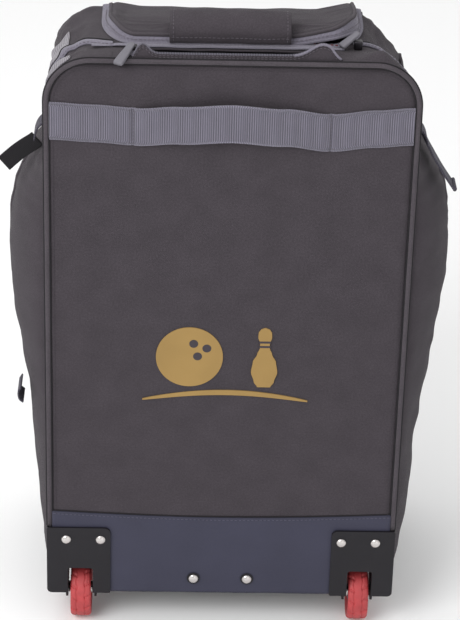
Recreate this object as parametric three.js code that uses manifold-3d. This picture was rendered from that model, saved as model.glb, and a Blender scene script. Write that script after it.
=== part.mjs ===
// Rolling bowling bag: fabric shell on a moulded bottom tray, two corner wheels, a two-stage pull-out
// handle behind the back panel, a hinged padded lid, side and front pockets, and a foam ball cup.
// Millimetres, +Z up, +Y towards the front pocket; the wheels and the flat back panel face -Y.
// Inside the "bag" group y = 0 is the outer face of the back panel and z = 0 is the ground.

import * as THREE from "three";
import { mergeVertices } from "three/addons/utils/BufferGeometryUtils.js";
import Module from "manifold-3d";

const wasm = await Module();
wasm.setup();

// ---------------------------------------------------------------- driving dimensions
const GAP = 0.3; // between two pieces that touch

// shell
const HALF_WIDTH = 175; // outside of the side walls
const WALL = 3; // fabric with its foam and lining
const SHELL_NEAR = 5; // where the walls start behind the back panel
const SHELL_FAR = 262; // outside of the front wall
const BASE_Z = 40; // underside of the bag
const TRAY_TOP = 60;
const TOP_Z = 632; // top of the flat part of the bag
const CORNER_R = 42; // the two top corners, seen from behind
const SPLIT_X = 133; // seams between the side gussets and the middle panels
const SPLIT_Y = 157; // seam between the top panel and the front panel

// back panel
const PANEL_HALF = 172;
const PANEL_TOP = 627;
const PANEL_THICK = 4;
const PIPING_R = 2.5;
const WRAP_TOP = 137; // top edge of the coated lower wrap

// pull-out handle
const TUBE_X = 50;
const TUBE_Y = 17.5;
const TUBE_WALL = 1.2;
const TUBE_STEP = 0.4; // clearance between one tube and the next
const OUTER_TUBE = [20, 15];
const GRIP_HALF = 62;
const GRIP_DEPTH = 17;
const MOUTH = { half: 88, near: 8, far: 27 };

// wheels
const WHEEL_X = 143.5;
const WHEEL_Y = 22;
const WHEEL_R = 30;
const WHEEL_WIDTH = 21;
const AXLE_R = 3;

// lid
const LID_HALF = 120;
const LID_NEAR = 40;
const LID_FAR = 262;
const LID_CORNER = 25;

// extents that place the origin under the middle of the bag
const NEAREST_Y = -12; // front of the grab handle
const FARTHEST_Y = 290; // front zip pull
const CENTRE_Y = (NEAREST_Y + FARTHEST_Y) / 2;

// ---------------------------------------------------------------- materials
const finish = (color, roughness, metalness = 0) =>
  new THREE.MeshStandardMaterial({ color, roughness, metalness });
const POLYESTER = finish(0x4b474c, 0.9);
const WEBBING = finish(0x73707f, 0.85);
const COATED = finish(0x484a59, 0.6);
const BLACK_PLASTIC = finish(0x2b292d, 0.5);
const BLACK_WEBBING = finish(0x28262b, 0.85);
const GREY_PLASTIC = finish(0x7e7c82, 0.5);
const RED_RUBBER = finish(0xc0474a, 0.6);
const STEEL = finish(0xb9b6b5, 0.3, 1);
const ALUMINIUM = finish(0x9a9ba0, 0.35, 1);
const DARK_METAL = finish(0x3a383c, 0.4, 1);
const FOAM = finish(0x2f2e33, 0.95);
const LINING = finish(0x35333a, 0.9);

// ---------------------------------------------------------------- geometry helpers
const V2 = (x, y) => new THREE.Vector2(x, y);

/** Keeps positions only, merges shared corners and turns the faces outwards. */
function closed(geometry) {
  const g = geometry.clone();
  for (const name of Object.keys(g.attributes)) if (name !== "position") g.deleteAttribute(name);
  const m = mergeVertices(g, 1e-4);
  const p = m.attributes.position;
  const index = m.index.array;
  const [a, b, c] = [new THREE.Vector3(), new THREE.Vector3(), new THREE.Vector3()];
  let volume = 0;
  const kept = [];
  for (let i = 0; i < index.length; i += 3) {
    const [i0, i1, i2] = [index[i], index[i + 1], index[i + 2]];
    if (i0 === i1 || i1 === i2 || i2 === i0) continue;
    kept.push(i0, i1, i2);
    a.fromBufferAttribute(p, i0);
    b.fromBufferAttribute(p, i1);
    c.fromBufferAttribute(p, i2);
    volume += a.dot(b.cross(c));
  }
  if (volume < 0) kept.reverse();
  m.setIndex(kept);
  return m;
}

function solid(geometry) {
  const m = closed(geometry);
  return new wasm.Manifold(
    new wasm.Mesh({
      numProp: 3,
      vertProperties: new Float32Array(m.attributes.position.array),
      triVerts: new Uint32Array(m.index.array),
    }),
  );
}

function toGeometry(manifold) {
  const mesh = manifold.getMesh();
  const g = new THREE.BufferGeometry();
  g.setAttribute("position", new THREE.BufferAttribute(new Float32Array(mesh.vertProperties), 3));
  g.setIndex(new THREE.BufferAttribute(new Uint32Array(mesh.triVerts), 1));
  return g;
}

const cut = (from, ...tools) =>
  toGeometry(tools.reduce((whole, tool) => whole.subtract(solid(tool)), solid(from)));
const join = (first, ...rest) =>
  toGeometry(rest.reduce((whole, more) => whole.add(solid(more)), solid(first)));
const overlap = (first, ...rest) =>
  toGeometry(rest.reduce((whole, more) => whole.intersect(solid(more)), solid(first)));

function block([x0, x1], [y0, y1], [z0, z1]) {
  const g = new THREE.BoxGeometry(x1 - x0, y1 - y0, z1 - z0);
  return g.translate((x0 + x1) / 2, (y0 + y1) / 2, (z0 + z1) / 2);
}

const extrude = (shape, depth, curveSegments = 6) =>
  new THREE.ExtrudeGeometry(shape, { depth, bevelEnabled: false, curveSegments });

/** A shape drawn in x and z, between two values of y. */
const plateXZ = (shape, y0, y1, segments) =>
  extrude(shape, y1 - y0, segments).rotateX(Math.PI / 2).translate(0, y1, 0);

/** A shape drawn in x and y, between two values of z. */
const plateXY = (shape, z0, z1, segments) => extrude(shape, z1 - z0, segments).translate(0, 0, z0);

/** A shape drawn in y and z, between two values of x. */
const plateYZ = (shape, x0, x1, segments) =>
  extrude(shape, x1 - x0, segments)
    .applyMatrix4(new THREE.Matrix4().set(0, 0, 1, 0, 1, 0, 0, 0, 0, 1, 0, 0, 0, 0, 0, 1))
    .translate(x0, 0, 0);

const polygon = (points) => new THREE.Shape(points.map(([x, y]) => V2(x, y)));

/** A rectangle with its own radius at each corner: low-left, low-right, high-right, high-left. */
function roundedRect(x0, x1, y0, y1, [r0, r1, r2, r3]) {
  const s = new THREE.Shape();
  const quarter = Math.PI / 2;
  s.moveTo(x0 + r0, y0);
  s.lineTo(x1 - r1, y0);
  if (r1) s.absarc(x1 - r1, y0 + r1, r1, -quarter, 0);
  s.lineTo(x1, y1 - r2);
  if (r2) s.absarc(x1 - r2, y1 - r2, r2, 0, quarter);
  s.lineTo(x0 + r3, y1);
  if (r3) s.absarc(x0 + r3, y1 - r3, r3, quarter, 2 * quarter);
  s.lineTo(x0, y0 + r0);
  if (r0) s.absarc(x0 + r0, y0 + r0, r0, 2 * quarter, 3 * quarter);
  return s;
}

const cylinderY = (x, z, radius, y0, y1, segments = 12) =>
  new THREE.CylinderGeometry(radius, radius, y1 - y0, segments).translate(x, (y0 + y1) / 2, z);

/** A profile of [radius, distance along X] pairs turned about a line along X. */
function latheX(profile, y, z, segments) {
  const g = new THREE.LatheGeometry(profile.map(([r, t]) => V2(r, t)), segments);
  return g.rotateZ(-Math.PI / 2).translate(0, y, z);
}

/** A profile of [radius, distance along Y] pairs turned about a line along Y. */
function latheY(profile, x, z, segments) {
  const g = new THREE.LatheGeometry(profile.map(([r, t]) => V2(r, t)), segments);
  return g.translate(x, 0, z);
}

/** A solid between a flat base and a surface that is height(u, v) above it, along one row axis. */
function bulge(height, [u0, u1], [v0, v1], nu, nv, place) {
  const points = [];
  const index = [];
  const at = (layer, i, j) => layer * (nu + 1) * (nv + 1) + j * (nu + 1) + i;
  for (const layer of [0, 1])
    for (let j = 0; j <= nv; j++)
      for (let i = 0; i <= nu; i++) {
        const u = u0 + ((u1 - u0) * i) / nu;
        const v = v0 + ((v1 - v0) * j) / nv;
        points.push(...place(u, v, layer ? height(u, v) : 0));
      }
  const quad = (a, b, c, d) => index.push(a, b, c, a, c, d);
  for (let j = 0; j < nv; j++)
    for (let i = 0; i < nu; i++) {
      quad(at(1, i, j), at(1, i + 1, j), at(1, i + 1, j + 1), at(1, i, j + 1));
      quad(at(0, i, j), at(0, i, j + 1), at(0, i + 1, j + 1), at(0, i + 1, j));
    }
  for (let i = 0; i < nu; i++) {
    quad(at(0, i, 0), at(0, i + 1, 0), at(1, i + 1, 0), at(1, i, 0));
    quad(at(0, i + 1, nv), at(0, i, nv), at(1, i, nv), at(1, i + 1, nv));
  }
  for (let j = 0; j < nv; j++) {
    quad(at(0, 0, j + 1), at(0, 0, j), at(1, 0, j), at(1, 0, j + 1));
    quad(at(0, nu, j), at(0, nu, j + 1), at(1, nu, j + 1), at(1, nu, j));
  }
  const g = new THREE.BufferGeometry();
  g.setAttribute("position", new THREE.Float32BufferAttribute(points, 3));
  g.setIndex(index);
  return g;
}

// ---------------------------------------------------------------- scene graph
const object = new THREE.Group();
const bag = new THREE.Group();
bag.position.y = -CENTRE_Y;
object.add(bag);

function piece(name, geometry, material, parent = bag) {
  const mesh = new THREE.Mesh(closed(geometry), material);
  mesh.name = name;
  parent.add(mesh);
  return mesh;
}

const SIDES = [["left", -1], ["right", 1]];
/** An interval on the right-hand side, or its mirror image on the left. */
const sided = (side, a, b) => (side > 0 ? [a, b] : [-b, -a]);

// ---------------------------------------------------------------- shell
/** Outline seen from behind, pulled in by inset. */
const backOutline = (inset) =>
  roundedRect(-HALF_WIDTH + inset, HALF_WIDTH - inset, BASE_Z + inset, TOP_Z - inset, [
    10 - inset, 10 - inset, CORNER_R - inset, CORNER_R - inset,
  ]);

/** Outline seen from the side: flat top, a slope down to the front, an upright front wall. */
function sideOutline(inset, near) {
  const s = new THREE.Shape();
  const r = 18 - inset;
  s.moveTo(near, BASE_Z + inset);
  s.lineTo(SHELL_FAR - inset - r, BASE_Z + inset);
  s.absarc(SHELL_FAR - inset - r, BASE_Z + inset + r, r, -Math.PI / 2, 0);
  s.lineTo(SHELL_FAR - inset, 545 - 0.3 * inset);
  s.lineTo(240 - 0.85 * inset, 580 - 0.75 * inset);
  s.lineTo(135 - 0.2 * inset, TOP_Z - inset);
  s.lineTo(near, TOP_Z - inset);
  return s;
}

const fullShell = cut(
  overlap(
    plateXZ(backOutline(0), SHELL_NEAR, SHELL_FAR + 1, 5),
    plateYZ(sideOutline(0, SHELL_NEAR), -HALF_WIDTH - 1, HALF_WIDTH + 1, 4),
  ),
  overlap(
    plateXZ(backOutline(WALL), SHELL_NEAR - 5, SHELL_FAR + 1, 5),
    plateYZ(sideOutline(WALL, SHELL_NEAR - 5), -HALF_WIDTH - 1, HALF_WIDTH + 1, 4),
  ),
);

const lidOutline = (inset, far) =>
  roundedRect(-LID_HALF + inset, LID_HALF - inset, LID_NEAR + inset, far, [
    LID_CORNER - inset, LID_CORNER - inset, 0, 0,
  ]);
const lidOpening = plateXY(lidOutline(8, 252), 500, 700, 4);
const mouthCut = plateXY(
  roundedRect(-MOUTH.half, MOUTH.half, MOUTH.near, MOUTH.far, [4, 4, 4, 4]), 600, 700, 2);

/** Space that the wheel and its housing take, open downwards. */
const wheelWell = (side) => block(sided(side, 125, 162), [-20, 57], [0, 68]);

piece("top_panel",
  cut(overlap(fullShell, block([-SPLIT_X, SPLIT_X], [0, SPLIT_Y], [500, 700])), lidOpening, mouthCut),
  POLYESTER);
piece("front_panel",
  cut(overlap(fullShell,
    block([-SPLIT_X, SPLIT_X], [SPLIT_Y + GAP, 300], [TRAY_TOP + GAP, 700])), lidOpening),
  POLYESTER);
for (const [name, side] of SIDES)
  piece(`${name}_side_panel`,
    cut(overlap(fullShell, block(sided(side, SPLIT_X + GAP, 200), [0, 300], [TRAY_TOP + GAP, 700])),
      wheelWell(side)),
    POLYESTER);
piece("bottom_tray",
  cut(overlap(fullShell, block([-200, 200], [0, 300], [0, TRAY_TOP])), wheelWell(-1), wheelWell(1)),
  BLACK_PLASTIC);
piece("divider_panel",
  plateXZ(roundedRect(-170, 170, 72, 625, [0, 0, CORNER_R - 5, CORNER_R - 5]), 31, 33.5, 4), LINING);

// ---------------------------------------------------------------- back panel
const RIVET_HOLE_R = 2.5;
const GUARD_RIVETS = [123, 158]; // distance from the middle
const GUARD_RIVET_Z = 105;
const BASE_RIVET_X = 27.5;
const BASE_RIVET_Z = 58;
const rivetSpots = [
  ...SIDES.flatMap(([, side]) => GUARD_RIVETS.map((x) => [side * x, GUARD_RIVET_Z])),
  ...SIDES.map(([, side]) => [side * BASE_RIVET_X, BASE_RIVET_Z]),
];
const rivetHoles = rivetSpots.map(([x, z]) => cylinderY(x, z, RIVET_HOLE_R, -10, 12, 8));

const panelOutline = roundedRect(-PANEL_HALF, PANEL_HALF, BASE_Z + 0.7, PANEL_TOP, [
  2, 2, CORNER_R - 3, CORNER_R - 3,
]);
piece("back_panel",
  cut(plateXZ(panelOutline, 0, PANEL_THICK, 6), wheelWell(-1), wheelWell(1), ...rivetHoles),
  POLYESTER);
piece("lower_wrap",
  cut(block([-PANEL_HALF, PANEL_HALF], [-1.4, -GAP], [BASE_Z, WRAP_TOP]),
    wheelWell(-1), wheelWell(1), ...rivetHoles),
  COATED);

const pipingX = PANEL_HALF + PIPING_R + GAP;
const pipingZ = PANEL_TOP + PIPING_R + GAP;
const upright = (x, z) => new THREE.Vector3(x, PANEL_THICK / 2, z);
const bendR = CORNER_R - 3 + PIPING_R + GAP;
const PIPING_FOOT = 119;
/** Points round one top corner, from the side up to the top edge. */
const bend = (side) =>
  Array.from({ length: 13 }, (_, i) => {
    const a = (Math.PI / 2) * (i / 12);
    return upright(side * (pipingX - bendR + bendR * Math.cos(a)), pipingZ - bendR + bendR * Math.sin(a));
  });
const pipingPoints = [
  upright(-pipingX, PIPING_FOOT),
  ...bend(-1),
  ...bend(1).reverse(),
  upright(pipingX, PIPING_FOOT),
];

/** A round bar with a mitred joint at each point of a path. */
function mitredBar(points, radius, segments) {
  const rings = points.map((p, i) => {
    const back = points[Math.max(i - 1, 0)];
    const ahead = points[Math.min(i + 1, points.length - 1)];
    const tangent = ahead.clone().sub(back).normalize();
    const sideways = new THREE.Vector3(0, 1, 0);
    const across = tangent.clone().cross(sideways).normalize();
    return Array.from({ length: segments }, (_, k) => {
      const a = (2 * Math.PI * k) / segments;
      return p.clone()
        .addScaledVector(across, radius * Math.cos(a))
        .addScaledVector(sideways, radius * Math.sin(a));
    });
  });
  const vertices = rings.flat();
  const index = [];
  for (let i = 0; i < rings.length - 1; i++)
    for (let k = 0; k < segments; k++) {
      const [a, b] = [i * segments + k, i * segments + ((k + 1) % segments)];
      index.push(a, b, b + segments, a, b + segments, a + segments);
    }
  const last = (rings.length - 1) * segments;
  for (let k = 1; k < segments - 1; k++) index.push(0, k + 1, k, last, last + k, last + k + 1);
  const g = new THREE.BufferGeometry().setFromPoints(vertices);
  g.setIndex(index);
  return g;
}
piece("back_piping", mitredBar(pipingPoints, PIPING_R, 8), POLYESTER);

// grab handle: webbing tacked flat at its ends, standing off the panel in the middle
const HANDLE_Z = [550, 588];
const HANDLE_THICK = 1.8;
const HANDLE_TACK_X = 93;
const HANDLE_BOW = -NEAREST_Y - HANDLE_THICK - GAP;
function handleOffset(x) {
  if (Math.abs(x) >= HANDLE_TACK_X) return 0;
  return HANDLE_BOW * Math.sin((Math.PI / 2) * (1 - Math.abs(x) / HANDLE_TACK_X)) ** 0.8;
}
const handleStops = [-171, -HANDLE_TACK_X];
for (let i = 1; i < 12; i++) handleStops.push(-HANDLE_TACK_X + (2 * HANDLE_TACK_X * i) / 12);
handleStops.push(HANDLE_TACK_X, 171);
const inner = handleStops.map((x) => [x, -GAP - handleOffset(x)]);
const outer = handleStops.map((x) => [x, -GAP - HANDLE_THICK - handleOffset(x)]).reverse();
piece("grab_handle", plateXY(polygon([...inner, ...outer]), ...HANDLE_Z), WEBBING);

// flap along the near edge of the handle mouth
piece("mouth_flap",
  plateXZ(polygon([
    [-88, TOP_Z + GAP], [88, TOP_Z + GAP], [88, 641], [82, 645], [66, 643], [46, 637],
    [-64, 637], [-84, 643], [-88, 641],
  ]), SHELL_NEAR + 0.2, SHELL_NEAR + 2.2),
  POLYESTER);

// ---------------------------------------------------------------- corner guards and rivets
const GUARD = { inner: 113, outer: 178, front: -4.3, back: -1.7, reach: 24, low: 39.7, high: 118.6 };
/** Radii of the guard's corners: low inner, low outer, high outer, high inner. */
const GUARD_CORNERS = [2, 5, 2, 6];
function guardBody(side) {
  const [lowIn, lowOut, highOut, highIn] = GUARD_CORNERS;
  const corners = side > 0 ? GUARD_CORNERS : [lowOut, lowIn, highIn, highOut];
  const outline = roundedRect(
    ...sided(side, GUARD.inner, GUARD.outer), GUARD.low, GUARD.high, corners);
  return cut(
    plateXZ(outline, GUARD.front, GUARD.reach, 4),
    block(sided(side, 100, HALF_WIDTH + GAP), [GUARD.back, 60], [0, 140]),
    block(sided(side, 100, HALF_WIDTH + 2.6), [GUARD.back, SHELL_NEAR], [0, 140]),
    plateXZ(
      roundedRect(...sided(side, 131, 156.5), 20, 70, [0, 0, 3, 3]), -20, 30, 2),
    ...rivetHoles,
  );
}
for (const [name, side] of SIDES)
  piece(`${name}_corner_guard`, guardBody(side), BLACK_PLASTIC);

/** A domed head with its shank, the head's underside at y = face. */
function rivet(x, z, face, tip) {
  const headR = 5;
  const shankR = RIVET_HOLE_R - 0.35;
  const dome = [[0, -2.4], [2.6, -2.1], [4.3, -1.2], [headR, -0.3], [headR, 0]];
  const profile = [
    ...dome.map(([r, t]) => [r, face + t]),
    [shankR, face],
    [shankR, tip],
    [0, tip],
  ];
  return latheY(profile, x, z, 12);
}
for (const [name, side] of SIDES) {
  const [nearX, farX] = GUARD_RIVETS;
  piece(`${name}_guard_rivet_inner`,
    rivet(side * nearX, GUARD_RIVET_Z, GUARD.front - GAP, PANEL_THICK + 1.5), STEEL);
  piece(`${name}_guard_rivet_outer`,
    rivet(side * farX, GUARD_RIVET_Z, GUARD.front - GAP, PANEL_THICK + 1.5), STEEL);
  const washerFace = -2.7;
  const ring = [[2.9, washerFace], [6.8, washerFace], [6.8, -1.7], [2.9, -1.7], [2.9, washerFace]];
  piece(`${name}_base_washer`,
    latheY(ring, side * BASE_RIVET_X, BASE_RIVET_Z, 14), BLACK_PLASTIC);
  piece(`${name}_base_rivet`,
    rivet(side * BASE_RIVET_X, BASE_RIVET_Z, washerFace - GAP, 9), STEEL);
}

// ---------------------------------------------------------------- wheels
const CHEEK = 2.4; // thickness of the housing's cheeks
const HOUSING = { low: 41, high: 67, far: 55.5, half: 13.5 };
const AXLE_HOLE_R = AXLE_R + 0.35;
/** A roof and a rear wall between two cheeks, with fork plates bored for the axle. */
function wheelHousing(side) {
  const { low, high, far, half } = HOUSING;
  const [a, b] = [WHEEL_X - half, WHEEL_X + half];
  const across = sided(side, a - 1, b + 1);
  const fork = (x0, x1) =>
    plateYZ(polygon([
      [6, 42], [46, 42], [WHEEL_Y + 9, 24], [WHEEL_Y - 9, 24],
    ]), ...sided(side, x0, x1));
  const cheek = (x0, x1) =>
    plateYZ(roundedRect(SHELL_NEAR, far, low, high, [0, 0, 4, 0]), ...sided(side, x0, x1), 3);
  const roof = block(across, [SHELL_NEAR, far], [high - 2.5, high]);
  const rear = block(across, [far - 2.3, far], [low, high - 1]);
  const bore = latheX([[0, -40], [AXLE_HOLE_R, -40], [AXLE_HOLE_R, 40], [0, 40]],
    WHEEL_Y, WHEEL_R, 12).translate(side * WHEEL_X, 0, 0);
  return cut(
    join(roof, rear, cheek(a - CHEEK, a), cheek(b, b + CHEEK), fork(a - CHEEK, a), fork(b, b + CHEEK)),
    bore,
  );
}
/** Tyre, hub, bush and axle, all turned about the axle line, and the housing over them. */
function wheelAssembly(name, side) {
  const x = side * WHEEL_X;
  const half = WHEEL_WIDTH / 2;
  const r = WHEEL_R;
  const tyre = [
    [19.4, -half + 2], [24, -half + 0.6], [27.6, -half], [29.2, -half + 1.6], [r, -half + 4.6],
    [r, half - 4.6], [29.2, half - 1.6], [27.6, half], [24, half - 0.6], [19.4, half - 2],
    [19.4, -half + 2],
  ];
  const hub = [
    [6.4, -half + 1], [9.5, -half + 1], [11, -half + 4], [16, -half + 4], [19, -half + 2.4],
    [19, half - 2.4], [16, half - 4], [11, half - 4], [9.5, half - 1], [6.4, half - 1],
    [6.4, -half + 1],
  ];
  const bush = [[AXLE_HOLE_R, -13], [6.05, -13], [6.05, 13], [AXLE_HOLE_R, 13], [AXLE_HOLE_R, -13]];
  const axle = [[0, -17.5], [5.4, -17.5], [5.4, -16.2], [AXLE_R, -16.2], [AXLE_R, 16.2],
    [5.4, 16.2], [5.4, 17.5], [0, 17.5]];
  const turned = (profile, segments) =>
    latheX(profile, WHEEL_Y, WHEEL_R, segments).translate(x, 0, 0);
  piece(`${name}_tyre`, turned(tyre, 30), RED_RUBBER);
  piece(`${name}_hub`, turned(hub, 18), GREY_PLASTIC);
  piece(`${name}_bearing`, turned(bush, 16), STEEL);
  piece(`${name}_axle`, turned(axle, 14), STEEL);
  piece(`${name}_wheel_housing`, wheelHousing(side), BLACK_PLASTIC);
}
for (const [name, side] of SIDES) wheelAssembly(name, side);

// two feet that stand the bag upright
for (const [name, side] of SIDES) {
  const foot = polygon([[200, BASE_Z - GAP], [206, 0], [232, 0], [240, BASE_Z - GAP]]);
  piece(`${name}_foot`, plateYZ(foot, ...sided(side, 108, 150)), BLACK_PLASTIC);
}

// ---------------------------------------------------------------- pull-out handle
function tubeSection([w, d], x, hollow) {
  const s = roundedRect(x - w / 2, x + w / 2, TUBE_Y - d / 2, TUBE_Y + d / 2, [3, 3, 3, 3]);
  if (hollow)
    s.holes.push(roundedRect(x - w / 2 + TUBE_WALL, x + w / 2 - TUBE_WALL,
      TUBE_Y - d / 2 + TUBE_WALL, TUBE_Y + d / 2 - TUBE_WALL, [1.8, 1.8, 1.8, 1.8]));
  return s;
}
const narrower = ([w, d]) => {
  const less = 2 * (TUBE_WALL + TUBE_STEP);
  return [w - less, d - less];
};
const MIDDLE_TUBE = narrower(OUTER_TUBE);
const INNER_TUBE = narrower(MIDDLE_TUBE);
const grown = ([w, d]) => [w + 2 * GAP, d + 2 * GAP];

const handleMiddle = new THREE.Group();
const handleInner = new THREE.Group();
handleMiddle.add(handleInner);
bag.add(handleMiddle);

const socket = (side, size, z0, z1) => plateXY(tubeSection(size, side * TUBE_X), z0, z1, 2);
piece("handle_base",
  cut(
    block([-66, 66], [PANEL_THICK + GAP, 30.5], [46, 74]),
    socket(-1, grown(OUTER_TUBE), 62, 90),
    socket(1, grown(OUTER_TUBE), 62, 90),
    ...rivetHoles,
  ),
  BLACK_PLASTIC);
piece("handle_bezel",
  cut(
    block([-66, 66], [PANEL_THICK + GAP, 30.5], [554, 564]),
    socket(-1, grown(OUTER_TUBE), 540, 580),
    socket(1, grown(OUTER_TUBE), 540, 580),
  ),
  BLACK_PLASTIC);
for (const [name, side] of SIDES) {
  const tube = (size, z0, z1) => plateXY(tubeSection(size, side * TUBE_X, true), z0, z1, 2);
  piece(`${name}_outer_tube`, tube(OUTER_TUBE, 62.5, 564), ALUMINIUM);
  piece(`${name}_middle_tube`, tube(MIDDLE_TUBE, 66, 565), ALUMINIUM, handleMiddle);
  piece(`${name}_inner_tube`, tube(INNER_TUBE, 70, 586), ALUMINIUM, handleInner);
}
const gripSide = [TUBE_Y - GRIP_DEPTH / 2, TUBE_Y + GRIP_DEPTH / 2];
const gripOutline = roundedRect(-GRIP_HALF, GRIP_HALF, 568, 621, [3, 3, 10, 10]);
gripOutline.holes.push(roundedRect(-38, 38, 574, 601, [4, 4, 6, 6]));
piece("handle_grip",
  cut(
    plateXZ(gripOutline, ...gripSide, 3),
    socket(-1, grown(INNER_TUBE), 560, 587),
    socket(1, grown(INNER_TUBE), 560, 587),
    block([-14.5, 14.5], [TUBE_Y - 5.5, TUBE_Y + 5.5], [611, 630]),
  ),
  BLACK_PLASTIC, handleInner);
piece("release_button",
  plateXZ(roundedRect(-14, 14, 614.5, 623, [0, 0, 3, 3]), TUBE_Y - 5, TUBE_Y + 5, 3),
  GREY_PLASTIC, handleInner);

// ---------------------------------------------------------------- lid
const lid = new THREE.Group();
bag.add(lid);
/** Band along the lid's crown, between two depths below its upper surface. */
function lidBand(upper, lower) {
  const crown = [
    [LID_NEAR, 642], [60, 647], [100, 648], [140, 640], [200, 611], [247, 587], [268, 558],
  ];
  const shift = ([y, z], depth) => [y - depth * Math.min(1, Math.max(0, (y - 60) / 200)), z - depth];
  const top = crown.map((p) => shift(p, upper));
  if (lower === null)
    return polygon([...top, [259, 553], [241, 581], [135, 633], [LID_NEAR, 633]]);
  return polygon([...top, ...crown.map((p) => shift(p, lower)).reverse()]);
}
const lidSolid = plateXY(lidOutline(0, LID_FAR + 8), 500, 700, 4);
const lidHollow = plateXY(lidOutline(WALL, LID_FAR - 2.5), 450, 750, 4);
const skin = 2.6;
piece("lid_panel",
  overlap(lidSolid, plateYZ(lidBand(0, skin), -LID_HALF - 1, LID_HALF + 1)), POLYESTER, lid);
piece("lid_gusset",
  cut(overlap(lidSolid, plateYZ(lidBand(skin + GAP, null), -LID_HALF - 1, LID_HALF + 1)), lidHollow),
  WEBBING, lid);

// sleeve handle across the lid's near edge, open at both ends
const SLEEVE = { left: -60, right: 54 };
const sleeveOuter = [
  [39.7, 639], [36, 638], [33.5, 641], [33.6, 647], [37, 653.5], [45, 658.5], [56, 660.5], [61, 658.5],
  [61, 649.8],
];
const sleeveInner = [
  [59, 649.5], [59, 657], [56, 658.3], [46, 656.2], [39, 652], [35.9, 646.5], [36, 642], [39.7, 641],
];
piece("haul_handle",
  plateYZ(polygon([...sleeveOuter, ...sleeveInner]), SLEEVE.left, SLEEVE.right),
  POLYESTER, lid);

// ---------------------------------------------------------------- pockets
/** Smooth rise from 0 at one end to 1 over the given share, and back at the other end. */
function swell(t, rise, fall) {
  const ease = (s) => Math.sin((Math.PI / 2) * Math.min(1, Math.max(0, s)));
  return ease(t / rise) * ease((1 - t) / fall);
}
const SIDE_POCKET = { y: [26, 228], z: [72, 545], wall: 2.4 };
/** How far the stuffed side pocket stands off the wall, from its foot up: [z, distance]. */
const SIDE_BULGE = [
  [72, 10], [110, 19], [174, 23], [260, 33], [340, 41], [430, 41], [480, 32], [520, 18], [545, 4],
];
const FRONT_POCKET = { x: [-125, 125], z: [86, 470], wall: 2.4, depth: 23, edge: 4 };
/** The interval left between two walls. */
const inside = ([a, b], wall) => [a + wall, b - wall];

function sidePocketHeight(y, z) {
  const { y: [y0, y1], z: [z0, z1] } = SIDE_POCKET;
  const at = Math.min(Math.max(z, z0), z1 - 0.01);
  const i = SIDE_BULGE.findIndex(([level]) => level > at);
  const [[za, a], [zb, b]] = [SIDE_BULGE[i - 1], SIDE_BULGE[i]];
  const full = a + ((b - a) * (at - za)) / (zb - za);
  return Math.max(3.5, full * (0.3 + 0.7 * swell((y - y0) / (y1 - y0), 0.34, 0.4)));
}
for (const [name, side] of SIDES) {
  const place = (base) => (y, z, h) => [side * (base + h), y, z];
  const { y, z, wall } = SIDE_POCKET;
  piece(`${name}_side_pocket`,
    cut(
      bulge(sidePocketHeight, y, z, 8, 12, place(HALF_WIDTH + GAP)),
      bulge((v, w) => sidePocketHeight(v, w) - wall + 1, inside(y, wall), inside(z, wall), 8, 12,
        place(HALF_WIDTH + GAP - 1)),
    ),
    POLYESTER);
}
function frontPocketHeight(x, z) {
  const { x: [x0, x1], z: [z0, z1], depth, edge } = FRONT_POCKET;
  const across = swell((x - x0) / (x1 - x0), 0.25, 0.25);
  return edge + (depth - edge) * across * swell((z - z0) / (z1 - z0), 0.2, 0.12);
}
const frontPlace = (base) => (x, z, h) => [x, base + h, z];
const { x: frontX, z: frontZ, wall: frontWall } = FRONT_POCKET;
piece("front_pocket",
  cut(
    bulge(frontPocketHeight, frontX, frontZ, 10, 10, frontPlace(SHELL_FAR + GAP)),
    bulge((x, z) => frontPocketHeight(x, z) - frontWall + 1, inside(frontX, frontWall),
      inside(frontZ, frontWall), 10, 10, frontPlace(SHELL_FAR + GAP - 1)),
  ),
  POLYESTER);

// lashing straps high on both sides: the left one hangs flat, the right one edge-on to the viewer
const STRAP_TIP = 222;
piece("left_lashing_strap",
  plateXZ(polygon([
    [-176, 560], [-176, 548], [-182, 546.5], [-190, 527], [-213, 500], [-STRAP_TIP, 517], [-189, 548],
  ]), 30, 32),
  BLACK_WEBBING);
piece("right_lashing_strap",
  plateXZ(polygon([
    [176, 557], [179.5, 555], [187, 542.5], [STRAP_TIP - 2, 488], [STRAP_TIP, 490.5], [190, 545],
    [181, 560], [176, 561],
  ]), 28, 50),
  WEBBING);

// foam cup that holds the ball
const BALL_R = 109;
const CUP = { half: 110, near: 38, far: 252, low: 43.5, high: 100 };
piece("ball_cup",
  cut(
    cut(
      plateXY(roundedRect(-CUP.half, CUP.half, CUP.near, CUP.far, [20, 20, 20, 20]),
        CUP.low, CUP.high, 3),
      block([-CUP.half - 1, CUP.half + 1], [240, 260], [40, 60]),
    ),
    new THREE.SphereGeometry(BALL_R, 20, 14).translate(0, (CUP.near + CUP.far) / 2, CUP.low + 8 + BALL_R),
  ),
  FOAM);

// ---------------------------------------------------------------- zip sliders and pulls
/** A flat tab from one point to another, as a mesh turned inside a group. */
function pullTab(name, from, to, width, thick, parent) {
  const start = new THREE.Vector3(...from);
  const along = new THREE.Vector3(...to).sub(start);
  const length = along.length();
  const sideways = along.clone().cross(new THREE.Vector3(0, 0, 1)).normalize();
  const group = new THREE.Group();
  group.position.copy(start);
  const across = sideways.clone().cross(along).normalize();
  group.quaternion.setFromRotationMatrix(
    new THREE.Matrix4().makeBasis(along.clone().normalize(), across, sideways));
  parent.add(group);
  const w = width / 2;
  const outline = polygon([[0, -thick / 2], [length, -thick / 2], [length, thick / 2], [0, thick / 2]]);
  const tab = new THREE.ExtrudeGeometry(outline, { depth: width, bevelEnabled: false })
    .translate(0, 0, -w);
  piece(name, tab, GREY_PLASTIC, group);
}

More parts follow.
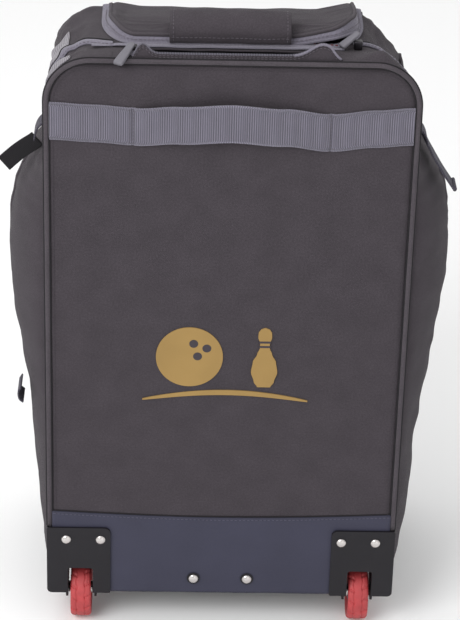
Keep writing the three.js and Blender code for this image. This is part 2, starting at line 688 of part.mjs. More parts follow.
// slider of the handle mouth's zip, at its left end, with its pull over the panel's edge
piece("mouth_zip_slider", block([-98, -90], [15.5, 24], [TOP_Z + GAP, 638]), DARK_METAL);
pullTab("mouth_zip_pull", [-95.5, 14, 638.6], [-107, -9.8, 633], 7, 2.4, bag);

// slider of the lid's zip, at the right near corner, with its pull across the edge
piece("lid_zip_slider", block([113, 121], [30, 37.5], [TOP_Z + GAP, 641]), DARK_METAL);
pullTab("lid_zip_pull", [116, 33.5, 644.5], [97, 29, 637], 7, 2.4, bag);

// slider of the front pocket's zip
const FRONT_ZIP_Z = 415;
const frontFace = SHELL_FAR + GAP + FRONT_POCKET.depth;
piece("front_zip_slider",
  block([-84, -75], [frontFace + GAP, frontFace + 2], [FRONT_ZIP_Z - 4, FRONT_ZIP_Z + 4]), DARK_METAL);
piece("front_zip_pull",
  block([-83, -76], [frontFace + 2.3, FARTHEST_Y], [FRONT_ZIP_Z - 28, FRONT_ZIP_Z + 0.5]), GREY_PLASTIC);

export default object;
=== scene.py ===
"""Looks of the rolling bowling bag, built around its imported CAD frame.

Shapes are worked out in millimetres from the back panel: x to the right, depth behind the
panel's outer face, z above the ground. put() turns such a point into metres in the row frame.
"""

import math
from contextlib import contextmanager

import bmesh
import bpy
import numpy as np
from mathutils import Matrix, Vector, noise


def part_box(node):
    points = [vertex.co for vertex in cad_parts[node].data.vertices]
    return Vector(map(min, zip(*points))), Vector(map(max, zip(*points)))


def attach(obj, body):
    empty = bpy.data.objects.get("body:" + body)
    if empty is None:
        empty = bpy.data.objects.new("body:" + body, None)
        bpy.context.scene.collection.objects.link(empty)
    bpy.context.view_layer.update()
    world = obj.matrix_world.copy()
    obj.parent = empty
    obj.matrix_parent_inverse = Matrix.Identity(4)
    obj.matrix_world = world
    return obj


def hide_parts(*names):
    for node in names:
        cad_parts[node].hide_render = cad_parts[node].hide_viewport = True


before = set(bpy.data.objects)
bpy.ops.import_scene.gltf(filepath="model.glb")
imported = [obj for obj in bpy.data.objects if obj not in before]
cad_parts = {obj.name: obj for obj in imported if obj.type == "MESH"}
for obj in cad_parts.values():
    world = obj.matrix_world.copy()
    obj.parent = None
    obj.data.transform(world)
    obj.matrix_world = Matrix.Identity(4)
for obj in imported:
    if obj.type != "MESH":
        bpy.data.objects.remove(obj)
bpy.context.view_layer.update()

# ------------------------------------------------------------------ places taken from the frame
MM = 0.001


def span(node):
    """Lowest and highest corner of a CAD node in millimetres, with depth measured from the panel."""
    low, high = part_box(node)
    return [[p.x / MM, (p.y - FACE_Y) / MM, p.z / MM] for p in (low, high)]


FACE_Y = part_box("back_panel")[0].y
PANEL_LOW, PANEL_HIGH = span("back_panel")
PIPING_FOOT = span("back_piping")[0][2]
SIDE_HIGH = span("right_side_panel")[1]
TOP_HIGH = span("top_panel")[1]
LID_LOW, LID_HIGH = span("lid_panel")
POCKET_LOW, POCKET_HIGH = span("right_side_pocket")
FRONT_POCKET_LOW, FRONT_POCKET_HIGH = span("front_pocket")
WRAP_LOW, WRAP_HIGH = span("lower_wrap")
WEB_LOW, WEB_HIGH = span("grab_handle")
SLEEVE_LOW, SLEEVE_HIGH = span("haul_handle")
FLAP_HIGH = span("mouth_flap")[1]

HALF = SIDE_HIGH[0]  # outside of the side walls
SEAM_X = TOP_HIGH[0]  # seam between the middle panels and the side gussets
TOP_Z = TOP_HIGH[2]
SHELL_FAR = SIDE_HIGH[1]
CORNER = HALF - SEAM_X
CLOTH_NEAR = 3.0  # where the side and shoulder cloths leave the piping
CLOTH_FAR = SHELL_FAR - 12  # where they meet the front's rounded corner
CLOTH_DEEP = CLOTH_FAR - CLOTH_NEAR
CLOTH_FOOT = 62.0  # foot of the side and front cloths, on the tray
PANEL_R = 39.0  # the back panel's top corners
LID_HALF, LID_NEAR = LID_HIGH[0], LID_LOW[1]
OPENING_HALF, OPENING_NEAR, OPENING_FAR = LID_HALF - 8, LID_NEAR + 8, 252.0
MOUTH_HALF, MOUTH_NEAR, MOUTH_FAR = FLAP_HIGH[0], 8.0, 27.0
TACK_X = 93.0  # where the webbing handle is sewn down
WHEEL_GAP = (126.5, 161.0)  # the cloth is cut away behind each wheel, between these


def put(x, depth, z):
    return (x * MM, FACE_Y + depth * MM, z * MM)


def clamp(t, low=0.0, high=1.0):
    return max(low, min(high, t))


def smooth(t):
    t = clamp(t)
    return t * t * (3 - 2 * t)


def ease(t):
    """A quarter of a sine wave, from 0 to 1."""
    return math.sin(math.pi / 2 * clamp(t))


def bell(t):
    return math.exp(-t * t)


def steps(a, b, n):
    return [a + (b - a) * i / n for i in range(n + 1)]


def along(table, t):
    """Value at t of a table of [place, value] pairs, eased between them."""
    if t <= table[0][0]:
        return table[0][1]
    for (t0, v0), (t1, v1) in zip(table, table[1:]):
        if t <= t1:
            return v0 + (v1 - v0) * smooth((t - t0) / (t1 - t0))
    return table[-1][1]


def rough(x, y, z, scale, seed=0.0):
    """Smooth noise from -1 to 1; scale is the size of a fold in millimetres."""
    return noise.noise(Vector((x / scale + seed, y / scale - seed, z / scale + 2 * seed)))


# ------------------------------------------------------------------ node materials
def linear(r, g, b):
    return [((c / 255 + 0.055) / 1.055) ** 2.4 if c > 10 else c / 255 / 12.92 for c in (r, g, b)] + [1]


def shade(colour, factor):
    return [c * factor for c in colour[:3]] + [1]


class Paint:
    """A small builder for one procedural material; sizes are in millimetres."""

    def __init__(self, name, roughness=0.8, metallic=0.0, **sockets):
        self.material = bpy.data.materials.new(name)
        self.material.use_nodes = True
        self.nodes = self.material.node_tree.nodes
        self.links = self.material.node_tree.links
        self.shader = self.nodes["Principled BSDF"]
        self.roughness(roughness)
        self.shader.inputs["Metallic"].default_value = metallic
        for socket, value in sockets.items():
            self.shader.inputs[socket.replace("_", " ")].default_value = value

    def feed(self, socket, value):
        if hasattr(value, "is_output"):
            self.links.new(value, socket)
        else:
            socket.default_value = value

    def node(self, kind, out, inputs, **settings):
        """One output of a new node whose inputs are given by name or number."""
        n = self.nodes.new("ShaderNode" + kind)
        for key, value in settings.items():
            setattr(n, key, value)
        for key, value in inputs.items():
            self.feed(n.inputs[key], value)
        return n.outputs[out]

    def coords(self, kind):
        return self.nodes.new("ShaderNodeTexCoord").outputs[kind]

    def math(self, operation, a, b=0.0):
        return self.node("Math", 0, {0: a, 1: b}, operation=operation)

    def times(self, first, *others):
        for other in others:
            first = self.math("MULTIPLY", first, other)
        return first

    def wave(self, value, pitch):
        return self.math("SINE", self.times(value, 2 * math.pi / (pitch * MM)))

    def noise(self, vector, size, detail=2.0, roughness=0.5):
        return self.node("TexNoise", "Fac", {"Vector": vector, "Scale": 1 / (size * MM), "Detail": detail,
                                             "Roughness": roughness})

    def stretch(self, vector, scale):
        return self.node("Mapping", 0, {"Vector": vector, "Scale": scale})

    def ramp(self, value, out_low, out_high, low=0.3, high=0.7):
        return self.node("MapRange", 0, {0: value, 1: low, 2: high, 3: out_low, 4: out_high})

    def mix(self, factor, a, b):
        return self.node("Mix", 2, {0: factor, 6: a, 7: b}, data_type="RGBA")

    def clouded(self, value, colour, dark, light, low=0.3, high=0.7):
        """A colour that a noise darkens and lightens."""
        return self.mix(self.ramp(value, 0, 1, low, high), shade(colour, dark), shade(colour, light))

    def colour(self, value):
        self.feed(self.shader.inputs["Base Color"], value)

    def tint(self, tone, colour):
        """The colour times a tone round 1."""
        self.colour(self.mix(self.times(tone, 0.5), [0, 0, 0, 1], shade(colour, 2)))

    def roughness(self, value):
        self.feed(self.shader.inputs["Roughness"], value)

    def bump(self, height, distance, strength=1.0):
        normal = self.shader.inputs["Normal"]
        under = {"Normal": normal.links[0].from_socket} if normal.links else {}
        inputs = {"Height": height, "Distance": distance * MM, "Strength": strength, **under}
        self.links.new(self.node("Bump", 0, inputs), normal)


def woven(name, colour, pitch=0.9, contrast=0.16, bump=0.1, sheen=0.05):
    """Plain-woven cloth: crossing threads, fibre fuzz and a soft uneven tone."""
    p = Paint(name, Sheen_Weight=sheen, Sheen_Roughness=0.4, Specular_IOR_Level=0.2)
    uv = p.coords("UV")
    threads = p.times(p.wave(p.node("SeparateXYZ", 0, {0: uv}), pitch),
                      p.wave(p.node("SeparateXYZ", 1, {0: uv}), pitch))
    fuzz = p.noise(uv, 1.9, 4, 0.65)
    p.tint(p.times(p.ramp(threads, 1 - contrast, 1 + contrast, -1, 1),
                   p.ramp(p.noise(uv, 28, 3), 0.92, 1.08), p.ramp(fuzz, 0.78, 1.22)), colour)
    p.roughness(p.ramp(fuzz, 0.8, 0.93))
    p.bump(threads, bump)
    p.bump(fuzz, 0.12, 0.5)
    return p.material


def ribbed(name, colour, rib=2.4, contrast=0.16, edge=0.0, width=38.0, sheen=0.25):
    """Webbing: ribs across its length, fine warp threads and, if edge is set, lighter selvedges."""
    p = Paint(name, 0.82, Sheen_Weight=sheen, Sheen_Roughness=0.5, Specular_IOR_Level=0.3)
    uv = p.coords("UV")
    across = p.node("SeparateXYZ", 1, {0: uv})
    ribs, warp = p.wave(p.node("SeparateXYZ", 0, {0: uv}), rib), p.wave(across, 0.9)
    fuzz = p.noise(uv, 1.1, 3)
    tones = [p.ramp(ribs, 1 - contrast, 1 + contrast, -1, 1), p.ramp(warp, 0.95, 1.05, -1, 1),
             p.ramp(fuzz, 0.88, 1.12), p.ramp(p.noise(uv, 30, 2), 0.95, 1.05)]
    if edge:
        off = p.math("ABSOLUTE", p.math("SUBTRACT", across, width * MM / 2))
        tones.append(p.ramp(off, 1, 1 + edge, (width / 2 - 2.2) * MM, (width / 2 - 0.9) * MM))
    p.tint(p.times(*tones), colour)
    p.bump(ribs, 0.25, 0.7)
    p.bump(warp, 0.1, 0.6)
    p.bump(fuzz, 0.15, 0.5)
    return p.material


def coated(name, colour, roughness, specular):
    """Coated cloth: fine leather-like grain with a soft gloss."""
    p = Paint(name, Specular_IOR_Level=specular)
    at = p.coords("Object")
    grain = p.noise(at, 1.6, 4, 0.6)
    p.colour(p.clouded(p.noise(at, 45, 2), colour, 0.93, 1.06))
    p.roughness(p.ramp(grain, roughness - 0.08, roughness + 0.12))
    p.bump(grain, 0.12, 0.6)
    return p.material


def moulded(name, colour, roughness=0.5, specular=0.5, wear=0.06):
    """Moulded plastic: spark-eroded texture, slight clouding, faint scuffs."""
    p = Paint(name, Specular_IOR_Level=specular)
    at = p.coords("Object")
    fine = p.noise(at, 0.8, 3, 0.6)
    scuff = p.ramp(p.noise(p.stretch(at, (1, 6, 1)), 9, 4, 0.7), 0, 1, 0.62, 0.75)
    base = p.clouded(p.noise(at, 22, 3), colour, 1 - wear, 1 + wear)
    p.colour(p.mix(p.times(scuff, 0.35), base, shade(colour, 1.35)))
    p.roughness(p.ramp(fine, roughness - 0.06, roughness + 0.1))
    p.bump(fine, 0.06, 0.6)
    return p.material


def rubber(name, colour):
    """Moulded rubber with an uneven dusty bloom."""
    p = Paint(name)
    at = p.coords("Object")
    fine = p.noise(at, 1.2, 4, 0.65)
    p.colour(p.clouded(p.noise(at, 12, 3), colour, 0.88, 1.1, 0.35, 0.65))
    p.roughness(p.ramp(fine, 0.45, 0.7))
    p.bump(fine, 0.08, 0.6)
    return p.material


def metal(name, colour, roughness=0.3, brushed=(1, 1, 30)):
    """Bare or anodised metal with drawn lines along one direction."""
    p = Paint(name, metallic=1.0)
    lines = p.noise(p.stretch(p.coords("Object"), brushed), 8, 4, 0.6)
    p.colour(p.clouded(lines, colour, 0.9, 1.08))
    p.roughness(p.ramp(lines, roughness - 0.07, roughness + 0.09))
    p.bump(lines, 0.02, 0.4)
    return p.material


def foamy(name, colour):
    """Open-celled foam."""
    p = Paint(name, 0.95)
    cells = p.noise(p.coords("Object"), 1.4, 3, 0.7)
    p.colour(p.clouded(cells, colour, 0.8, 1.15))
    p.bump(cells, 0.3, 0.8)
    return p.material


GREY = linear(63, 58, 63)
CLOTH = woven("cloth", GREY)
# The same cloth for the upward faces, its tone set apart from CLOTH to take out the extra light falling on
# them from above: painted shade.
TOP_CLOTH_PAINTED_SHADE = woven("cloth_top_painted_shade", linear(65, 60, 65), contrast=0.12, sheen=0.06)
PIPING_CLOTH = woven("piping_cloth", linear(74, 69, 74), pitch=0.8, contrast=0.1)
LINING = woven("lining", linear(48, 45, 50), pitch=0.7, bump=0.06)
TAPE = woven("zip_tape", linear(116, 112, 124), pitch=1.1, contrast=0.2, sheen=0.2)
WEBBING = ribbed("webbing", linear(99, 96, 108), contrast=0.4, edge=0.35)
DARK_WEBBING = ribbed("dark_webbing", linear(22, 20, 24), rib=1.5, contrast=0.25, sheen=0.05)
SLATE_WEBBING = ribbed("slate_webbing", linear(66, 63, 74), rib=2.6, contrast=0.35, sheen=0.08)
# Light mesh cloth, for the mesh patch on the left shoulder and for a light patch of painted highlight in
# front of it.
MESH_CLOTH_AND_HIGHLIGHT = ribbed("mesh_cloth_and_painted_highlight", linear(122, 118, 125), rib=2.6, contrast=0.35)
COATED = coated("coated_cloth", linear(52, 52, 68), 0.55, 0.3)
BLACK = moulded("black_plastic", linear(24, 22, 27), 0.5, specular=0.3)
PULL_GREY = moulded("grey_plastic", linear(106, 104, 111), 0.5, specular=0.3, wear=0.03)
RED = rubber("red_rubber", linear(169, 57, 60))
STEEL = metal("steel", linear(205, 200, 198), 0.25)
ALUMINIUM = metal("aluminium", linear(170, 171, 175), 0.33, (30, 30, 1))
DARK_METAL = metal("dark_metal", linear(62, 60, 64), 0.35)
FOAM = foamy("foam", linear(52, 50, 55))
THREAD = woven("thread", linear(100, 95, 102), pitch=0.5, contrast=0.25)
WRAP_THREAD = woven("wrap_thread", linear(88, 87, 102), pitch=0.5, contrast=0.2)
RED_THREAD = woven("red_thread", linear(120, 26, 32), pitch=0.5, contrast=0.2)
# Near-black cloth for thin strips laid in grooves and along seams and tape edges, where shade falls:
# painted shade.
SHADOW_CLOTH = woven("painted_shadow_cloth", linear(34, 32, 35), pitch=0.7, bump=0.05)
GOLD = coated("gold_print", linear(147, 119, 70), 0.55, 0.25)
COIL = moulded("zip_coil", linear(98, 95, 106), 0.4, wear=0.03)


# ------------------------------------------------------------------ mesh helpers
@contextmanager
def edited(mesh):
    """A bmesh of a mesh, written back when the block ends."""
    bm = bmesh.new()
    bm.from_mesh(mesh)
    yield bm
    bm.to_mesh(mesh)
    bm.free()


def face_outwards(obj):
    with edited(obj.data) as bm:
        bmesh.ops.recalc_face_normals(bm, faces=bm.faces)
    return obj


def mesh_piece(name, points, faces, material, body, uvs=None, replaces=(), lining=None):
    """A mesh object from points in millimetres, riding on a CAD body."""
    mesh = bpy.data.meshes.new(name)
    mesh.from_pydata([put(*p) for p in points], [], faces)
    if uvs is not None:
        layer = mesh.uv_layers.new(name="cloth")
        for loop in mesh.loops:
            layer.data[loop.index].uv = uvs[loop.vertex_index]
    for m in filter(None, (material, lining)):
        mesh.materials.append(m)
    mesh.polygons.foreach_set("use_smooth", [True] * len(mesh.polygons))
    obj = bpy.data.objects.new(name, mesh)
    bpy.context.scene.collection.objects.link(obj)
    return finish_piece(obj, body, replaces)


def finish_piece(obj, body, replaces=()):
    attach(obj, body)
    if replaces:
        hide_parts(*replaces)
    return obj


def sheet(name, surface, us, vs, material, body, outward, skip=None, thick=1.6, replaces=(),
          lining=None):
    """A sheet of cloth surface(u, v), with its outer side towards outward and its thickness
    behind. us and vs are lists, or counts of even steps from 0 to 1; skip(u, v) marks holes."""
    us, vs = (steps(0, 1, t) if isinstance(t, int) else t for t in (us, vs))
    nu, nv = len(us), len(vs)
    points = [surface(u, v) for v in vs for u in us]
    grid = np.array(points, float).reshape(nv, nu, 3)
    across = np.linalg.norm(np.diff(grid, axis=1), axis=2)
    upwards = np.linalg.norm(np.diff(grid, axis=0), axis=2)
    run_u = np.concatenate([np.zeros((nv, 1)), np.cumsum(across, 1)], 1)
    run_v = np.concatenate([np.zeros((1, nu)), np.cumsum(upwards, 0)], 0)
    run_u -= run_u[:, nu // 2:nu // 2 + 1]
    uvs = [(run_u[j, i] * MM, run_v[j, i] * MM) for j in range(nv) for i in range(nu)]
    faces = []
    for j in range(nv - 1):
        for i in range(nu - 1):
            if skip and skip((us[i] + us[i + 1]) / 2, (vs[j] + vs[j + 1]) / 2):
                continue
            a = j * nu + i
            faces.append((a, a + 1, a + 1 + nu, a + nu))
    flat = grid.reshape(-1, 3)
    facing = 0.0
    for a, b, c, d in faces[:: max(1, len(faces) // 200)]:
        normal = np.cross(flat[c] - flat[a], flat[d] - flat[b])
        facing += float(np.dot(normal, outward(flat[a]) if callable(outward) else outward))
    if facing < 0:
        faces = [f[::-1] for f in faces]
    obj = mesh_piece(name, points, faces, material, body, uvs, replaces, lining)
    with edited(obj.data) as bm:
        bmesh.ops.remove_doubles(bm, verts=bm.verts, dist=1e-6)
        bmesh.ops.delete(bm, geom=[v for v in bm.verts if not v.link_faces], context="VERTS")
    solid = obj.modifiers.new("thickness", "SOLIDIFY")
    solid.thickness = thick * MM
    solid.offset = -1.0
    solid.material_offset = 1 if lining else 0
    return obj


SETTLE_FRAMES = 20


def settled(surface, us, vs, held, grow, cap):
    """The same sheet after a short cloth simulation. The cloth is cut a share larger than its
    shape and is held where held(x, depth) says so; no point moves further than cap."""
    grid = {(u, v): surface(u, v) for v in vs for u in us}
    n = len(us)
    mesh = bpy.data.meshes.new("settling")
    mesh.from_pydata([Vector(p) * MM for p in grid.values()], [],
                     [(j * n + i, j * n + i + 1, (j + 1) * n + i + 1, (j + 1) * n + i)
                      for j in range(len(vs) - 1) for i in range(n - 1)])
    obj = bpy.data.objects.new("settling", mesh)
    scene = bpy.context.scene
    scene.collection.objects.link(obj)
    pins = obj.vertex_groups.new(name="held")
    pins.add([i for i, (x, depth, _) in enumerate(grid.values()) if held(x, depth)], 1.0, "REPLACE")
    modifier = obj.modifiers.new("cloth", "CLOTH")
    cloth = modifier.settings
    cloth.vertex_group_mass = "held"
    cloth.quality, cloth.mass = 6, 0.3
    cloth.tension_stiffness = cloth.compression_stiffness = 12
    cloth.shear_stiffness, cloth.bending_stiffness = 4, 4
    cloth.shrink_min = -grow
    cloth.effector_weights.gravity = 0.2
    modifier.point_cache.frame_start, modifier.point_cache.frame_end = 1, SETTLE_FRAMES
    start = scene.frame_current
    for now in range(1, SETTLE_FRAMES + 1):
        scene.frame_set(now)
    shape = obj.evaluated_get(bpy.context.evaluated_depsgraph_get()).to_mesh()
    moved = {}
    for (key, before), vertex in zip(grid.items(), shape.vertices):
        step = vertex.co / MM - Vector(before)
        moved[key] = tuple(Vector(before) + step * (cap / max(cap, step.length)))
    bpy.data.objects.remove(obj)
    bpy.data.meshes.remove(mesh)
    scene.frame_set(start)
    return lambda u, v: moved[u, v]


def tube(name, path, radius, material, body, sides=10, replaces=(), flat=1.0, up=None, square=1.0):
    """A bar along a path of points, round or, where square is below 1, nearer a rectangle;
    radius may be a function of the share along it."""
    p = np.array(path, float)
    n = len(p)
    tangents = np.gradient(p, axis=0)
    tangents /= np.linalg.norm(tangents, axis=1)[:, None]
    side = np.cross(tangents[0], up or (0, 1, 0))
    if np.linalg.norm(side) < 1e-3:
        side = np.cross(tangents[0], (1, 0, 0))
    points, uvs, run = [], [], 0.0
    for i in range(n):
        if up:
            side = np.cross(tangents[i], up)
        side = side - np.dot(side, tangents[i]) * tangents[i]
        side = side / np.linalg.norm(side)
        other = np.cross(tangents[i], side)
        r = radius(i / (n - 1)) if callable(radius) else radius
        run += float(np.linalg.norm(p[i] - p[i - 1])) if i else 0.0
        for k in range(sides):
            a = 2 * math.pi * k / sides
            wide = math.copysign(abs(math.cos(a)) ** square, math.cos(a))
            thick = math.copysign(abs(math.sin(a)) ** square, math.sin(a))
            points.append(p[i] + r * (wide * side + flat * thick * other))
            uvs.append((run * MM, r * a * MM))
    faces = []
    for i in range(n - 1):
        for k in range(sides):
            a, b = i * sides + k, i * sides + (k + 1) % sides
            faces.append((a, a + sides, b + sides, b))
    faces.append(tuple(range(sides)))
    faces.append(tuple(range((n - 1) * sides, n * sides))[::-1])
    return mesh_piece(name, points, faces, material, body, uvs, replaces)


def join_parts(name, parts, material, body):
    """One object from several lists of (points, faces)."""
    points, faces = [], []
    for p, f in parts:
        base = len(points)
        points += list(p)
        faces += [tuple(base + i for i in face) for face in f]
    return mesh_piece(name, points, faces, material, body, [(x * MM, z * MM) for x, _, z in points])


def measured(route):
    """A route's points as an array, and the length run at each."""
    p = np.array(route, float)
    return p, np.concatenate([[0], np.cumsum(np.linalg.norm(np.diff(p, axis=0), axis=1))])


def at_run(p, run, s):
    return np.array([np.interp(s, run, p[:, k]) for k in range(3)])


def capsule(a, b, radius, sides=6):
    """Points and faces of one short stitch or tooth from a to b."""
    d = b - a
    length = np.linalg.norm(d)
    d /= length
    side = np.cross(d, (0, 0, 1) if abs(d[2]) < 0.8 else (1, 0, 0))
    side /= np.linalg.norm(side)
    other = np.cross(d, side)
    rings = [(0.0, 0.3), (0.12, 0.8), (0.3, 1.0), (0.7, 1.0), (0.88, 0.8), (1.0, 0.3)]
    points = [a + d * length * t + radius * s * (math.cos(k * 2 * math.pi / sides) * side
              + math.sin(k * 2 * math.pi / sides) * other) for t, s in rings for k in range(sides)]
    faces = [(i * sides + k, i * sides + (k + 1) % sides, (i + 1) * sides + (k + 1) % sides,
              (i + 1) * sides + k) for i in range(len(rings) - 1) for k in range(sides)]
    faces.append(tuple(range(sides))[::-1])
    faces.append(tuple(range((len(rings) - 1) * sides, len(rings) * sides)))
    return points, faces


def stitches(name, route, material, body, length=3.0, gap=1.6, radius=0.35):
    """A row of stitches along a route given as a dense list of points."""
    p, run = measured(route)
    parts, at = [], 0.5
    while at + length < run[-1]:
        parts.append(capsule(at_run(p, run, at), at_run(p, run, at + length), radius))
        at += length + gap
    return join_parts(name, parts, material, body)


def teeth(name, route, across, half, body, pitch=1.7, radius=0.62):
    """The coil of a closed zip: short bars across a route."""
    p, run = measured(route)
    shift = np.array(across, float) * half
    centres = [at_run(p, run, (k + 0.5) * pitch) for k in range(int(run[-1] / pitch))]
    return join_parts(name, [capsule(c - shift, c + shift, radius) for c in centres], COIL, body)


def spline(points, n):
    """A smooth path through points."""
    p = np.array(points, float)
    ts = np.linspace(0, len(p) - 1, n)
    out = []
    for t in ts:
        i = min(int(t), len(p) - 2)
        f = t - i
        a, b = p[i], p[i + 1]
        ma = (p[i + 1] - p[max(i - 1, 0)]) / (2 if i else 1)
        mb = (p[min(i + 2, len(p) - 1)] - p[i]) / (2 if i + 2 < len(p) else 1)
        out.append((2 * f ** 3 - 3 * f ** 2 + 1) * a + (f ** 3 - 2 * f ** 2 + f) * ma
                   + (3 * f ** 2 - 2 * f ** 3) * b + (f ** 3 - f ** 2) * mb)
    return [tuple(q) for q in out]


def rounded_copy(name, node, material, body, width, segments=2):
    """A CAD node's own shape with softened edges."""
    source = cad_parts[node]
    mesh = source.data.copy()
    mesh.materials.clear()
    mesh.materials.append(material)
    obj = bpy.data.objects.new(name, mesh)
    bpy.context.scene.collection.objects.link(obj)
    with edited(mesh) as bm:
        bmesh.ops.remove_doubles(bm, verts=bm.verts, dist=1e-6)
        bmesh.ops.dissolve_limit(bm, angle_limit=math.radians(1), verts=bm.verts, edges=bm.edges)
        layer = bm.loops.layers.uv.verify()
        for face in bm.faces:
            away = max(range(3), key=lambda i: abs(face.normal[i]))
            kept = [i for i in range(3) if i != away]
            for loop in face.loops:
                loop[layer].uv = [loop.vert.co[i] for i in kept]
    mesh.polygons.foreach_set("use_smooth", [True] * len(mesh.polygons))
    bevel = obj.modifiers.new("round", "BEVEL")
    bevel.width = width * MM
    bevel.segments = segments
    bevel.limit_method = "ANGLE"
    bevel.angle_limit = math.radians(30)
    bevel.harden_normals = True
    return finish_piece(obj, body, [node])


def turned(name, profile, axis, centre, material, body, replaces, segments=40):
    """A profile of (radius, distance) turned about the x or depth axis through centre."""
    points, faces, rings = [], [], []
    for r, t in profile:
        ring = []
        for k in range(1 if r == 0 else segments):
            a = 2 * math.pi * k / segments
            across, up = r * math.cos(a), r * math.sin(a)
            if axis == "x":
                points.append((centre[0] + t, centre[1] + across, centre[2] + up))
            else:
                points.append((centre[0] + across, centre[1] + t, centre[2] + up))
            ring.append(len(points) - 1)
        rings.append(ring)
    for a, b in zip(rings, rings[1:]):
        for k in range(segments):
            quad = [a[k % len(a)], a[(k + 1) % len(a)], b[(k + 1) % len(b)], b[k % len(b)]]
            unique = list(dict.fromkeys(quad))
            if len(unique) > 2:
                faces.append(tuple(unique))
    return face_outwards(mesh_piece(name, points, faces, material, body, None, replaces))


# ------------------------------------------------------------------ outline of the back
def arch(left, right, foot, top, r, n_side, n_corner, n_top):
    """Points up the left side, round over the top and down the right side."""
    quarter = steps(0, math.pi / 2, n_corner)
    line = [(left, z) for z in steps(foot, top - r, n_side)[:-1]]
    line += [(left + r - r * math.cos(a), top - r + r * math.sin(a)) for a in quarter]
    line += [(x, top) for x in steps(left + r, right - r, n_top)[1:-1]]
    line += [(right - r + r * math.sin(a), top - r + r * math.cos(a)) for a in quarter]
    return line + [(right, z) for z in steps(top - r, foot, n_side)[1:]]


def back_edge(grow):
    """The back panel's outline, grown past its edge."""
    half = PANEL_HIGH[0] + grow
    return arch(-half, half, PIPING_FOOT, PANEL_HIGH[2] + grow, PANEL_R + grow, 40, 18, 40)


def panel_half(z):
    """Half the width of the back panel at a height."""
    above = max(0.0, z - PANEL_HIGH[2] + PANEL_R)
    return PANEL_HIGH[0] - PANEL_R + math.sqrt(max(0.0, PANEL_R ** 2 - above ** 2))


def seam_z(x):
    """Height of the coated wrap's top seam: it sags a little in the middle."""
    return WRAP_HIGH[2] - 5.5 * math.cos(clamp(abs(x) / 172) * math.pi / 2)


# ------------------------------------------------------------------ back panel and its trims
def back_panel():
    def surface(u, v):
        z = PANEL_LOW[2] + (PANEL_HIGH[2] - 0.2 - PANEL_LOW[2]) * v
        x = u * (panel_half(z) + 0.6)
        edge = min(panel_half(z) - abs(x), PANEL_HIGH[2] - z)
        pull = -0.9 * bell((seam_z(x) + 3 - z) / 5)
        depth = (1.6 if edge < 2 else 0.2) + 0.5 * rough(x, 0, z, 95, 3) + pull * 0.4
        return x, depth, z

    def wheel_gap(u, v):
        z = PANEL_LOW[2] + (PANEL_HIGH[2] - PANEL_LOW[2]) * v
        return z < 68 and WHEEL_GAP[0] < abs(u) * PANEL_HIGH[0] < WHEEL_GAP[1]

    sheet("back_panel_cloth", surface, steps(-1, 1, 96), 150, CLOTH, "bag",
          (0, -1, 0), wheel_gap, 2.2, ["back_panel"])
    edge = back_edge(2.8)
    tube("back_piping_cloth", [(x, 1.4 + 0.25 * rough(x, 0, z, 30), z) for x, z in edge], 2.75,
         PIPING_CLOTH, "bag", 14, replaces=["back_piping"])
    # Thin dark strips on both sides of the piping stand for the shade in its grooves: painted shade.
    for name, grow, depth in (("piping_groove_shade_inner", 0.0, 0.3), ("piping_groove_shade_outer", 5.6, 0.9)):
        tube(name, [(x, depth, z) for x, z in back_edge(grow)], 0.85, SHADOW_CLOTH, "bag", 6)
    route = [(x, -0.75 + 0.5 * rough(x, 0, z, 95, 3), z) for x, z in back_edge(-3.5)]
    stitches("panel_edge_stitches", route, CLOTH, "bag", 3.2, 1.2, 0.3)


def lower_wrap():
    def surface(u, v):
        x = u * (PANEL_HIGH[0] + 0.5)
        low = WRAP_LOW[2]
        z = low + (seam_z(x) - low) * v
        crease = 0.35 * rough(x, 0, z, 34, 6)
        return x, -1.1 - 0.5 * math.sin(math.pi * v) + crease + (0.9 if v > 0.985 else 0), z

    def wheel_gap(u, v):
        return v < 0.33 and WHEEL_GAP[0] < abs(u) * PANEL_HIGH[0] < WHEEL_GAP[1]

    sheet("lower_wrap_cloth", surface, steps(-1, 1, 110), 30, COATED, "bag",
          (0, -1, 0), wheel_gap, 1.0, ["lower_wrap"])
    xs = steps(-PANEL_HIGH[0], PANEL_HIGH[0], 90)
    seam = [(x, -0.5, seam_z(x) + 0.9) for x in xs]
    # A thin dark strip along the wrap's seam stands for the shade in it: painted shade.
    tube("wrap_seam_shade", seam, 0.7, SHADOW_CLOTH, "bag", 6)
    route = [(x, -1.35 + 0.35 * rough(x, 0, seam_z(x) - 3, 34, 6), seam_z(x) - 2.8) for x in xs]
    stitches("wrap_stitches", route, WRAP_THREAD, "bag", 2.8, 1.4, 0.3)


# ------------------------------------------------------------------ webbing handle
def web_offset(x):
    if abs(x) >= TACK_X:
        return 0.0
    bow = -WEB_LOW[1] - 3.0
    return bow * math.sin(math.pi / 2 * (1 - abs(x) / TACK_X)) ** 0.8


def web_centre(x):
    """Height of the webbing's middle: it rises in the middle and dips at its two tacks."""
    table = [[-172, 569], [-130, 567], [-92, 564.5], [-50, 569], [0, 572.5], [50, 568.5], [95, 561.5],
             [135, 566], [172, 569]]
    return along(table, x)


